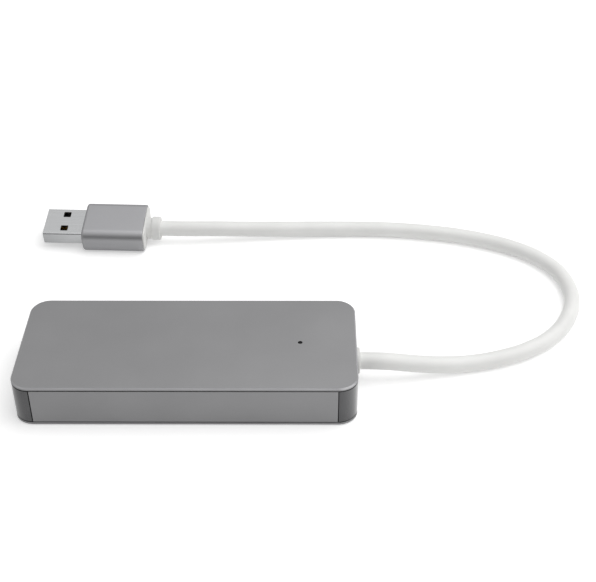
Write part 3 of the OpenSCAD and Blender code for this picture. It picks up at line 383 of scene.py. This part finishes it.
def pick_faces(test):
    """Selects the faces whose middle and normal pass a test."""
    bpy.ops.mesh.select_mode(type="FACE")
    bpy.ops.mesh.select_all(action="DESELECT")
    mesh = bmesh.from_edit_mesh(bpy.context.object.data)
    for face in mesh.faces:
        if test(face.calc_center_median(), face.normal):
            face.select_set(True)
    bmesh.update_edit_mesh(bpy.context.object.data)


def near(one, other):
    """True where two lengths differ by less than a sliver."""
    return abs(one - other) < SLIVER


def both_at(axis, *places):
    """Test for edges that lie in a plane square to an axis, at one of these places."""
    return lambda a, b: any(near(a[axis], place) and near(b[axis], place) for place in places)


def along_only(axis):
    """Test for edges that run along an axis."""
    others = [i for i in range(3) if i != axis]
    return lambda a, b: all(near(a[i], b[i]) for i in others)


def round_off(width, segments):
    """Bevels the selected edges."""
    bpy.ops.mesh.bevel(
        offset=width, offset_type="OFFSET", segments=segments, profile=0.5,
        affect="EDGES", clamp_overlap=False,
    )


def push_out(x=0.0, z=0.0):
    """Extrudes the selected faces along the box or upwards."""
    bpy.ops.mesh.extrude_region_move(TRANSFORM_OT_translate={"value": (x, 0.0, z)})


def trim(spot, way):
    """Cuts off what lies past a plane of the open mesh, and closes the cut."""
    bpy.ops.mesh.select_all(action="SELECT")
    bpy.ops.mesh.bisect(plane_co=spot, plane_no=way, use_fill=True, clear_outer=True)


def rounded_block(name, low, high, corner, axis=2, segments=12):
    """Block whose four edges along one axis are rounded."""
    piece = block(name, low, high)
    open_mesh(piece)
    pick_edges(along_only(axis))
    round_off(corner, segments)
    take_in_hand(piece)
    return piece


def box_layer(name, low, high):
    """Layer of the box between two heights, with its full outline."""
    corners = (-HALF_W, -HALF_D, low), (HALF_W, HALF_D, high)
    return rounded_block(name, *corners, CORNER, segments=CORNER_STEPS)


def fold_sheet(piece, wall, front, lip):
    """Opens both ends of a bar along X, leaves a sheet round it and rounds the lip of its front."""
    open_mesh(piece)
    pick_faces(lambda c, n: abs(n.x) > FACING)
    bpy.ops.mesh.delete(type="ONLY_FACE")
    take_in_hand(piece)
    step = piece.modifiers.new("sheet", "SOLIDIFY")
    step.thickness, step.offset, step.use_even_offset = wall, -1, True
    bpy.ops.object.modifier_apply(modifier=step.name)
    open_mesh(piece)
    pick_edges(both_at(0, front))
    round_off(lip, 2)
    take_in_hand(piece)


def work_in(piece, tool, how="DIFFERENCE"):
    """Cuts the tool's shape out of the piece, or joins it on, and takes the tool away."""
    take_in_hand(piece)
    step = piece.modifiers.new("work", "BOOLEAN")
    step.object, step.operation, step.solver = tool, how, "EXACT"
    bpy.ops.object.modifier_apply(modifier=step.name)
    bpy.data.objects.remove(tool, do_unlink=True)


def turned(name, profile, axis="X", centre=(0, 0, 0), steps=64):
    """Piece turned about an axis. The profile lists places along it and radii, round the section
    once, or from the axis back to the axis."""
    along, out = "XYZ".index(axis), 0 if axis == "Z" else 2
    spots = []
    for length, radius in profile:
        spot = Vector((0, 0, 0))
        spot[along], spot[out] = length, radius
        spots.append(spot)
    take_in_hand()
    bpy.ops.mesh.primitive_plane_add(size=1)
    piece = name_new(name)
    open_mesh(piece)
    bpy.ops.mesh.select_mode(type="VERT")
    bpy.ops.mesh.select_all(action="SELECT")
    bpy.ops.mesh.merge(type="CENTER")
    bpy.ops.transform.translate(value=spots[0])
    for before, after in zip(spots, spots[1:]):
        bpy.ops.mesh.extrude_vertices_move(TRANSFORM_OT_translate={"value": after - before})
    bpy.ops.mesh.select_all(action="SELECT")
    if profile[0][1] > 0:
        bpy.ops.mesh.edge_face_add()
        bpy.ops.mesh.delete(type="ONLY_FACE")
        bpy.ops.mesh.select_all(action="SELECT")
    turn_axis = [0, 0, 0]
    turn_axis[along] = 1
    bpy.ops.mesh.spin(steps=steps, angle=2 * math.pi, center=(0, 0, 0), axis=turn_axis)
    bpy.ops.mesh.select_all(action="SELECT")
    bpy.ops.mesh.remove_doubles(threshold=SLIVER)
    bpy.ops.mesh.normals_make_consistent(inside=False)
    bpy.ops.transform.translate(value=centre)
    take_in_hand(piece)
    return piece


def dress(piece, finishes, node, place=None):
    """Clears a piece of slivers, brings it to metres and to its place, gives it its finishes and
    binds it to the box."""
    open_mesh(piece)
    bpy.ops.mesh.select_all(action="SELECT")
    bpy.ops.mesh.remove_doubles(threshold=SLIVER)
    bpy.ops.mesh.dissolve_degenerate(threshold=SLIVER)
    take_in_hand(piece)
    piece.matrix_world = Matrix.Scale(MM, 4) @ (place or Matrix.Identity(4))
    bpy.ops.object.transform_apply(location=True, rotation=True, scale=True)
    bpy.ops.object.shade_smooth_by_angle(angle=math.radians(SMOOTH_BELOW))
    step = piece.modifiers.new("even_normals", "WEIGHTED_NORMAL")
    step.keep_sharp = True
    bpy.ops.object.modifier_apply(modifier=step.name)
    for finish in finishes:
        piece.data.materials.append(FINISHES[finish])
    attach(piece, "root")
    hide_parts(node)
    return piece


# Free cable

def lay_cable():
    """White cable on one smooth line, from the gland to the plug's collar."""
    line = bpy.data.curves.new("free_cord", "CURVE")
    line.dimensions = "3D"
    line.bevel_depth, line.bevel_resolution = CABLE_R * MM, 7
    line.resolution_u, line.use_fill_caps = 10, True
    spline = line.splines.new("BEZIER")
    spline.bezier_points.add(len(CABLE_ROUTE) - 1)
    for point, spot in zip(spline.bezier_points, CABLE_ROUTE):
        point.co = Vector(spot) * MM
        point.handle_left_type = point.handle_right_type = "AUTO"
    cable = bpy.data.objects.new("free_cord", line)
    bpy.context.scene.collection.objects.link(cable)
    line.materials.append(FINISHES["cable_pvc"])
    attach(cable, "root")
    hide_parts("free_cable")
    return cable


# Enclosure

def make_top_cover():
    """Grey plate with a bright cut rim and the small hole of the light."""
    plate = box_layer("top_plate", COVER_UNDER, TOP)
    open_mesh(plate)
    pick_edges(both_at(2, TOP))
    round_off(RIM, 1)
    pick_edges(both_at(2, COVER_UNDER))
    round_off(COVER_EDGE, 2)
    start, length = (LIGHT_X, 0, COVER_UNDER - PAST), TOP - COVER_UNDER + 2 * PAST
    work_in(plate, bar("light_hole", start, LIGHT_HOLE_R, length))
    open_mesh(plate)
    pick_faces(lambda c, n: c.z > TOP - RIM and 1 - FACING < n.z < FACING)
    mesh = bmesh.from_edit_mesh(plate.data)
    for face in mesh.faces:
        face.material_index = 1 if face.select else 0
    bmesh.update_edit_mesh(plate.data)
    return dress(plate, ["anodised_grey", "cut_rim"], "top_cover")


def make_bottom_cover():
    """Grey plate with a chamfer below and four countersunk holes."""
    plate = box_layer("bottom_plate", 0, BASE_TOP)
    open_mesh(plate)
    pick_edges(both_at(2, 0))
    round_off(RIM, 1)
    pick_edges(both_at(2, BASE_TOP))
    round_off(COVER_EDGE, 2)
    take_in_hand(plate)
    sink = [(-0.5, 0), (-0.5, 2.15), (0.6, SCREW_HOLE_R), (2, SCREW_HOLE_R), (2, 0)]
    for x, y in SCREW_PLACES:
        work_in(plate, turned("countersink", sink, "Z", (x, y, 0), 40))
    return dress(plate, ["anodised_grey"], "bottom_cover")


def mouth_bar(name, grow, front, rear, corner):
    """Bar with the outline of the video socket's mouth, grown on all sides, with soft corners."""
    wide, high = VIDEO_W / 2 + grow, VIDEO_H / 2 + grow
    piece = block(
        name, (front, VIDEO_Y - wide, VIDEO_Z - high), (rear, VIDEO_Y + wide, VIDEO_Z + high)
    )
    open_mesh(piece)
    slope = Vector((0, VIDEO_CUT_H, -VIDEO_CUT_W)).normalized()
    for side in (-1, 1):
        way = Vector((0, side * slope.y, slope.z))
        spot = Vector((0, VIDEO_Y + side * VIDEO_W / 2, VIDEO_Z - VIDEO_H / 2 + VIDEO_CUT_H))
        trim(spot + way * grow, way)
    pick_edges(along_only(0))
    round_off(corner, 3)
    take_in_hand(piece)
    return piece


def side_block(name, side, x_from, x_to, y_in, y_out, low, high):
    """Block on the front, where the side is -1, or the rear, between two distances from the middle."""
    y_from, y_to = sorted((side * y_in, side * y_out))
    return block(name, (x_from, y_from, low), (x_to, y_to, high))


def add_frame_side(ring, side):
    """Works the recess of one strip, a board rail, two bosses and two screw posts into the frame."""
    long_x, end_y = STRIP_X + STRIP_PLAY, HALF_D + RECESS_REACH
    recess = side_block(
        "strip_recess", side, -long_x, long_x, HALF_D - STRIP_T, end_y, 0, FRAME_TOP + PAST
    )
    open_mesh(recess)
    pick_faces(lambda c, n: n.y * side > FACING)
    bpy.ops.transform.resize(value=(RECESS_FLARE, 1, 1), center_override=(0, 0, 0))
    work_in(ring, recess)
    foot, wall_y = (BASE_TOP, BOARD_UNDER), CAVITY_Y + WALL_BITE
    rail = side_block("rail", side, RAIL_START, RAIL_END, CAVITY_Y - RAIL_T, wall_y, *foot)
    work_in(ring, rail, "UNION")
    for x in BOSS_XS:
        web = side_block("boss_web", side, x - BOSS_R, x + BOSS_R, BOSS_Y, wall_y, *foot)
        work_in(ring, web, "UNION")
        boss = bar("boss", (x, side * BOSS_Y, BASE_TOP), BOSS_R, BOARD_UNDER - BASE_TOP)
        work_in(ring, boss, "UNION")
        hole = bar("boss_hole", (x, side * BOSS_Y, 0), SCREW_HOLE_R, BOARD_UNDER + PAST, sides=32)
        work_in(ring, hole)
    for x in (-POST_X, POST_X):
        start, length = (x, side * POST_Y, BASE_TOP + POST_SHY), FRAME_TOP - BASE_TOP - 2 * POST_SHY
        work_in(ring, bar("post", start, POST_R, length), "UNION")
        hole = bar("post_hole", (x, side * POST_Y, 0), SCREW_HOLE_R, POST_HOLE_TOP, sides=32)
        work_in(ring, hole)


def make_frame():
    """Dark moulded ring with the port openings, corner posts, rails and board bosses."""
    ring = box_layer("frame_ring", FRAME_LOW, FRAME_TOP)
    open_mesh(ring)
    pick_edges(both_at(2, FRAME_TOP, FRAME_LOW))
    round_off(FRAME_EDGE, 2)
    pick_faces(lambda c, n: n.z < -FACING)
    bpy.ops.mesh.inset(thickness=FRAME_STEP)
    push_out(z=BASE_TOP - FRAME_LOW)
    take_in_hand(ring)
    corners = (-CAVITY_X, -CAVITY_Y, 0), (CAVITY_X, CAVITY_Y, FRAME_TOP + PAST)
    work_in(ring, rounded_block("cavity", *corners, CAVITY_R))
    for side in (-1, 1):
        add_frame_side(ring, side)
    for x in STUD_XS:
        work_in(ring, bar("stud_holes", (x, -HALF_D, SIDE_MID), STUD_HOLE_R, 2 * HALF_D, "Y", 32))
    start, end, through = -HALF_W - PAST, PAST - CAVITY_X, END_WALL + 2 * PAST
    work_in(ring, mouth_bar("video_opening", VIDEO_WALL + VIDEO_PLAY, start, end, VIDEO_HOLE_R))
    work_in(ring, bar("jack_opening", (start, JACK_Y, JACK_Z), JACK_HOLE_R, through, "X", 64))
    work_in(ring, bar("gland_opening", (-end, 0, CABLE_Z), GLAND_HOLE_R, through, "X", 64))
    open_mesh(ring)
    at_port_end = both_at(0, -HALF_W)
    pick_edges(lambda a, b: at_port_end(a, b) and all(abs(v.z - SIDE_MID) < PORT_REACH for v in (a, b)))
    round_off(PORT_LIP, 2)
    take_in_hand(ring)
    return dress(ring, ["frame_abs"], "mid_frame")


def make_side_strip(name, node, turn):
    """Grey metal strip, flush in the long side of the frame, with three studs on its back. It is
    made for the front, and turned about the middle of the box for the rear."""
    strip = box_layer(name, FRAME_LOW, FRAME_TOP)
    open_mesh(strip)
    back = STRIP_T - HALF_D
    trim((STRIP_X, 0, 0), (1, 0, 0))
    trim((-STRIP_X, 0, 0), (-1, 0, 0))
    trim((0, back, 0), (0, 1, 0))
    long_edge = both_at(2, FRAME_LOW, FRAME_TOP)
    end_edge = both_at(0, -STRIP_X, STRIP_X)
    pick_edges(
        lambda a, b: max(a.y, b.y) < back - STRIP_T / 2
        and (long_edge(a, b) or (end_edge(a, b) and not near(a.z, b.z)))
    )
    round_off(STRIP_EDGE, 2)
    take_in_hand(strip)
    for x in STUD_XS:
        work_in(strip, bar("stud", (x, back - STUD_ROOT, SIDE_MID), STUD_R, STUD_L, "Y", 32), "UNION")
    if turn:
        open_mesh(strip)
        bpy.ops.mesh.select_all(action="SELECT")
        bpy.ops.transform.rotate(value=turn, orient_axis="Z", center_override=(0, 0, 0))
        take_in_hand(strip)
    return dress(strip, ["anodised_grey"], node)


def make_cover_screws():
    """Four countersunk screws from below, with a tapered cross recess."""
    outline = [
        (0.0, 0), (0.0, 1.5), (0.06, 1.57), (0.14, 1.58), (0.6, 1.0), (5.7, 1.0), (6.0, 0.75), (6.0, 0),
    ]
    screw = turned("cover_screw_1", outline, "Z", steps=40)
    wing_l, wing_w, wing_low, wing_top, taper = 0.95, 0.26, -0.5, 0.42, (0.55, 0.6, 1)
    for turn in (0, 90):
        wing = block("drive_wing", (-wing_l, -wing_w, wing_low), (wing_l, wing_w, wing_top))
        open_mesh(wing)
        pick_faces(lambda c, n: n.z > FACING)
        bpy.ops.transform.resize(value=taper, center_override=(0, 0, wing_top))
        bpy.ops.mesh.select_all(action="SELECT")
        bpy.ops.transform.rotate(value=math.radians(turn), orient_axis="Z", center_override=(0, 0, 0))
        work_in(screw, wing)
    screws = [screw]
    for number in range(2, len(SCREW_PLACES) + 1):
        copy = screw.copy()
        copy.data = screw.data.copy()
        copy.name = copy.data.name = f"cover_screw_{number}"
        bpy.context.scene.collection.objects.link(copy)
        screws.append(copy)
    for piece, (x, y) in zip(screws, SCREW_PLACES):
        dress(piece, ["screw_zinc"], "cover_screws", Matrix.Translation((x, y, 0)))


def make_light_pipe():
    """Smoked pin with a flange under the cover and a polished, slightly domed tip."""
    outline = [
        (4.8, 0), (4.8, 0.6), (11.7, 0.6), (11.7, 1.4), (11.8, 1.5), (12.3, 1.5), (12.3, 0.6),
        (12.66, 0.6), (12.74, 0.55), (12.79, 0.4), (12.8, 0),
    ]
    pin = turned("light_pin", outline, "Z", (LIGHT_X, 0, 0), 40)
    return dress(pin, ["smoked_acrylic"], "light_pipe")


# Ports and cable exit

def make_video_socket():
    """Folded sheet mouth with spring fingers cut in it, a rounded lip and four solder legs."""
    mouth = mouth_bar("video_mouth", VIDEO_WALL, VIDEO_FRONT, VIDEO_REAR, VIDEO_BEND)
    fold_sheet(mouth, VIDEO_WALL, VIDEO_FRONT, VIDEO_LIP)
    finger_y, finger_w, slot_w = 3.4, 2.2, 0.24
    slot_from, slot_to = VIDEO_FRONT + 1.6, VIDEO_FRONT + 7.0
    end_from, end_to = VIDEO_FRONT + 1.5, VIDEO_FRONT + 1.8
    reach_in, reach_out = 0.1, 0.5
    low_wall, high_wall = VIDEO_Z - VIDEO_H / 2, VIDEO_Z + VIDEO_H / 2
    for y in (VIDEO_Y - finger_y, VIDEO_Y + finger_y):
        for low, high in (
            (low_wall - reach_out, low_wall + reach_in), (high_wall - reach_in, high_wall + reach_out)
        ):
            for slot_y in (y - finger_w / 2, y + finger_w / 2):
                corners = (slot_from, slot_y - slot_w / 2, low), (slot_to, slot_y + slot_w / 2, high)
                work_in(mouth, block("finger_slot", *corners))
            half = (finger_w + slot_w) / 2
            work_in(mouth, block("finger_end", (end_from, y - half, low), (end_to, y + half, high)))
    leg_w, leg_xs = 1.6, (VIDEO_FRONT + 2.6, VIDEO_FRONT + 8.6)
    for x in leg_xs:
        for side in (-1, 1):
            y_from, y_to = sorted(
                VIDEO_Y + side * reach for reach in (VIDEO_W / 2, VIDEO_W / 2 + VIDEO_WALL)
            )
            leg = block("leg", (x, y_from, BOARD_UNDER), (x + leg_w, y_to, VIDEO_Z))
            work_in(mouth, leg, "UNION")
    return dress(mouth, ["nickel_sheet"], "video_socket_shell")


def make_jack_ring():
    """Plated ring in the audio jack's mouth, with a rounded lip."""
    outline = [
        (-46.8, 2.1), (-46.8, 2.5), (-46.72, 2.68), (-46.55, 2.78), (-46.3, 2.8), (-45.0, 2.8),
        (-45.0, 1.8), (-46.5, 1.8), (-46.68, 1.88), (-46.78, 2.0),
    ]
    ring = turned("jack_ring", outline, centre=(0, JACK_Y, JACK_Z))
    return dress(ring, ["nickel_sheet"], "audio_jack_bush")


def make_gland():
    """White ring where the cable leaves the end wall, with a flange inside."""
    outline = [
        (43.7, 2.55), (43.7, 4.2), (43.8, 4.3), (45.1, 4.3), (45.2, 4.2), (45.2, 3.2), (47.0, 3.2),
        (47.0, 3.75), (47.6, 3.75), (47.82, 3.7), (47.96, 3.56), (48.0, 3.38), (48.0, 2.8),
        (47.94, 2.63), (47.8, 2.55),
    ]
    gland = turned("cable_grommet", outline, centre=(0, 0, CABLE_Z))
    return dress(gland, ["white_pvc"], "cable_gland")


# Plug

def plug_block(name, x_from, x_to, wide, high, corner, segments):
    """Block along the plug, with its four long edges rounded."""
    corners = (x_from, -wide / 2, -high / 2), (x_to, wide / 2, high / 2)
    return rounded_block(name, *corners, corner, axis=0, segments=segments)


def make_plug_sleeve():
    """Grey tube with soft ends and the opening of the mouth in its front wall."""
    sleeve = plug_block("plug_sleeve_tube", 0, SLEEVE_L, SLEEVE_W, SLEEVE_H, SLEEVE_R, 12)
    open_mesh(sleeve)
    pick_edges(both_at(0, 0))
    round_off(SLEEVE_NOSE, 5)
    pick_edges(both_at(0, SLEEVE_L))
    round_off(SLEEVE_LIP, 2)
    pick_faces(lambda c, n: n.x > FACING)
    bpy.ops.mesh.inset(thickness=SLEEVE_WALL - SLEEVE_LIP)
    push_out(x=SLEEVE_FRONT - SLEEVE_L)
    take_in_hand(sleeve)
    wide, high = MOUTH_W + 2 * MOUTH_PLAY, MOUTH_H + 2 * MOUTH_PLAY
    corner = MOUTH_R + MOUTH_PLAY
    work_in(sleeve, plug_block("mouth_opening", -PAST, SLEEVE_FRONT + PAST, wide, high, corner, 5))
    return dress(sleeve, ["sleeve_grey_painted_lighter"], "plug_sleeve", PLUG_PLACE)


def make_plug_insert():
    """White end of the plug: insert in the sleeve, neck and collar, bored for the cable."""
    insert = plug_block("plug_end_insert", INSERT_START, INSERT_END, INSERT_W, INSERT_H, INSERT_R, 10)
    open_mesh(insert)
    pick_edges(both_at(0, INSERT_END))
    round_off(INSERT_EDGE, 3)
    take_in_hand(insert)
    # The neck starts inside the insert
    outline = [
        (19.4, 0), (19.4, 3.45), (22.0, 3.45), (COLLAR_START, 3.55), (22.3, 3.75), (22.5, 3.85),
        (24.65, 3.85), (24.87, 3.78), (24.97, 3.62), (COLLAR_END, 3.4), (COLLAR_END, 0),
    ]
    work_in(insert, turned("collar", outline), "UNION")
    bore_l = COLLAR_END - INSERT_START + 2 * PAST
    work_in(insert, bar("cable_bore", (INSERT_START - PAST, 0, 0), BORE_R, bore_l, "X", 64))
    return dress(insert, ["white_pvc"], "plug_rear_insert", PLUG_PLACE)


def make_plug_mouth():
    """Folded nickel mouth with four square windows, a rolled front edge and the seam below."""
    mouth = plug_block("plug_mouth", -MOUTH_L, MOUTH_SUNK, MOUTH_W, MOUTH_H, MOUTH_R, 5)
    fold_sheet(mouth, MOUTH_WALL, -MOUTH_L, MOUTH_LIP)
    window_y, window_w, window_from, window_to, window_r = 3.2, 2.4, -7.5, -5.1, 0.25
    for y in (-window_y, window_y):
        low = (window_from, y - window_w / 2, -MOUTH_H)
        high = (window_to, y + window_w / 2, MOUTH_H)
        work_in(mouth, rounded_block("window", low, high, window_r, segments=3))
    seam_y, seam_w = 0.6, 0.1
    low = (-MOUTH_L - PAST, seam_y - seam_w / 2, -MOUTH_H / 2 - PAST)
    high = (MOUTH_SUNK + PAST, seam_y + seam_w / 2, 1.5 * MOUTH_WALL - MOUTH_H / 2)
    work_in(mouth, block("seam", low, high))
    return dress(mouth, ["nickel_sheet"], "plug_shell", PLUG_PLACE)


# Solids that keep their shape and get a finish

KEPT_FINISHES = {
    "cover_tape": "foam_tape",
    "insulating_film": "film_polyester",
    "circuit_board": "solder_mask",
    "board_screws": "screw_zinc",
    "indicator_led": "lamp_resin",
    "video_socket_tongue": "socket_lcp",
    "video_socket_contacts": "contact_gold",
    "audio_jack_body": "socket_lcp",
    "audio_jack_springs": "contact_gold",
    "capture_processor": "chip_epoxy",
    "heat_block": "milled_block",
    "thermal_pads": "silicone_pad",
    "video_receiver_chip": "chip_epoxy",
    "memory_chip": "chip_epoxy",
    "flash_chip": "chip_epoxy",
    "audio_codec_chip": "chip_epoxy",
    "voltage_regulators": "chip_epoxy",
    "power_inductors": "ferrite",
    "clock_crystals": "crystal_can",
    "tantalum_capacitors": "tantalum_epoxy",
    "ceramic_capacitors": "fired_ceramic",
    "chip_resistors": "chip_epoxy",
    "cable_tail": "cable_pvc",
    "cable_crimp_ring": "nickel_sheet",
    "power_wires": "wire_red",
    "slow_pair_wires": "wire_green",
    "receive_pair_wires": "wire_blue",
    "transmit_pair_wires": "wire_violet",
    "plug_inner_mould": "inner_mould",
    "plug_tongue": "socket_lcp",
    "plug_contacts": "contact_gold",
    "plug_fast_contacts": "contact_gold",
    "plug_cable_tail": "cable_pvc",
}


def finish_kept_solids():
    """Gives each solid that stays its own finish."""
    for node, finish in KEPT_FINISHES.items():
        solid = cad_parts[node]
        solid.data.materials.clear()
        solid.data.materials.append(FINISHES[finish])


# Studio

def seen_rays(tree):
    """Rays that reach the eye, straight or through glass, and those that a surface mirrors."""
    path = add_node(tree, "ShaderNodeLightPath").outputs
    straight, through = path["Is Camera Ray"], path["Is Transmission Ray"]
    eye = add_node(tree, "ShaderNodeMath", {0: straight, 1: through}, operation="MAXIMUM").outputs[0]
    return eye, path["Is Glossy Ray"]


def lay_floor():
    """Sheet of white paper, lifted to white where the eye or a mirror sees it, with painted reflections
    beside the box.
    """
    take_in_hand()
    bpy.ops.mesh.primitive_plane_add(size=FLOOR_SIZE)
    floor = name_new("studio_floor")
    paper, tree, shader, spot = start_finish("white_backdrop_paper")
    shader.inputs["Base Color"].default_value = linear("#f7f7f7")
    shader.inputs["Roughness"].default_value = 0.9
    shader.inputs["Emission Color"].default_value = (1, 1, 1, 1)
    eye, mirrored = seen_rays(tree)
    shown = add_node(tree, "ShaderNodeMath", {0: eye, 1: mirrored}, operation="MAXIMUM").outputs[0]
    # Far from the lamps the paper is lifted more, so that it stays white up to its edge
    reach = add_node(tree, "ShaderNodeVectorMath", {0: spot}, operation="LENGTH").outputs["Value"]
    glow = add_node(
        tree, "ShaderNodeMapRange",
        {"Value": reach, "From Min": 0.4, "From Max": 1.3, "To Min": 0.4, "To Max": 0.68},
    ).outputs["Result"]
    lift = add_node(tree, "ShaderNodeMath", {0: shown, 1: glow}, operation="MULTIPLY").outputs[0]
    # Painted reflection: in mirrored rays only, the paper left of the box is darkened (black) and the
    # paper right of it brightened, so metal and gloss beside the box show a painted dark and a painted
    # bright reflection
    across = add_node(tree, "ShaderNodeSeparateXYZ", {"Vector": spot}).outputs["X"]
    black = add_node(
        tree, "ShaderNodeMapRange",
        {"Value": across, "From Min": -0.06, "From Max": -0.044, "To Min": -0.4, "To Max": 0.0},
    ).outputs["Result"]
    painted_reflections = add_node(
        tree, "ShaderNodeMapRange",
        {"Value": across, "From Min": 0.044, "From Max": 0.06, "To Min": black, "To Max": 0.4},
    ).outputs["Result"]
    # The painted dark and bright reflections are added to the lift, in mirrored rays only
    lift_and_painted_reflections = add_node(
        tree, "ShaderNodeMath", {0: mirrored, 1: painted_reflections, 2: lift}, operation="MULTIPLY_ADD"
    ).outputs[0]
    tree.links.new(lift_and_painted_reflections, shader.inputs["Emission Strength"])
    floor.data.materials.append(paper)


def hang_surround():
    """White surround. Metal mirrors it as a light tent that is brightest overhead and open, so dim,
    low down in front."""
    world = bpy.data.worlds.new("studio_surround")
    world.use_nodes = True
    bpy.context.scene.world = world
    tree = world.node_tree
    surround = tree.nodes["Background"]
    surround.inputs["Color"].default_value = (1, 1, 1, 1)
    eye, mirrored = seen_rays(tree)
    way = add_node(tree, "ShaderNodeTexCoord").outputs["Generated"]
    course = add_node(tree, "ShaderNodeSeparateXYZ", {"Vector": way}).outputs
    dim = add_node(
        tree, "ShaderNodeMapRange",
        {"Value": course["Y"], "From Min": -0.97, "From Max": -0.6, "To Min": 0.05, "To Max": 1.0},
    ).outputs["Result"]
    rise = add_node(
        tree, "ShaderNodeMapRange",
        {"Value": course["Z"], "From Min": 0.0, "From Max": 1.0, "To Min": 0.6, "To Max": 1.2},
    ).outputs["Result"]
    tent = add_node(tree, "ShaderNodeMath", {0: dim, 1: rise}, operation="MULTIPLY").outputs[0]
    metal = add_node(tree, "ShaderNodeMath", {0: mirrored, 1: tent}, operation="MULTIPLY").outputs[0]
    shown = add_node(tree, "ShaderNodeMath", {0: eye, 1: metal}, operation="MAXIMUM").outputs[0]
    spread = add_node(tree, "ShaderNodeLightPath").outputs["Is Diffuse Ray"]
    soft = add_node(tree, "ShaderNodeMath", {0: spread, 1: SOFT_LIGHT}, operation="MULTIPLY").outputs[0]
    lift = add_node(tree, "ShaderNodeMath", {0: shown, 1: soft}, operation="MAXIMUM").outputs[0]
    tree.links.new(lift, surround.inputs["Strength"])


def place_lamps():
    """Large soft lamp overhead, and a weak one each from the front and the right. Places and sizes
    are in metres, powers in watts."""
    for name, place, size, power in (
        ("overhead_lamp", (0.33, 0.13, 0.75), 0.9, 4.6),
        ("front_lamp", (0.45, -0.55, 0.5), 0.5, 0.5),
        ("right_lamp", (0.8, -0.1, 0.35), 0.5, 0.3),
    ):
        lamp = bpy.data.lights.new(name, "AREA")
        lamp.shape, lamp.size, lamp.energy = "SQUARE", size, power
        holder = bpy.data.objects.new(name, lamp)
        bpy.context.scene.collection.objects.link(holder)
        holder.location = place
        holder.rotation_euler = (-Vector(place)).to_track_quat("-Z", "Y").to_euler()


set_camera()
FINISHES = make_finishes()
cable = lay_cable()
make_top_cover()
make_bottom_cover()
make_frame()
make_side_strip("front_strip", "front_side_panel", 0)
make_side_strip("rear_strip", "rear_side_panel", math.pi)
make_cover_screws()
make_light_pipe()
make_video_socket()
make_jack_ring()
gland = make_gland()
plug = [make_plug_sleeve(), make_plug_insert(), make_plug_mouth()]
finish_kept_solids()
lay_floor()
hang_surround()
place_lamps()

bpy.context.scene.view_settings.view_transform = "Standard"
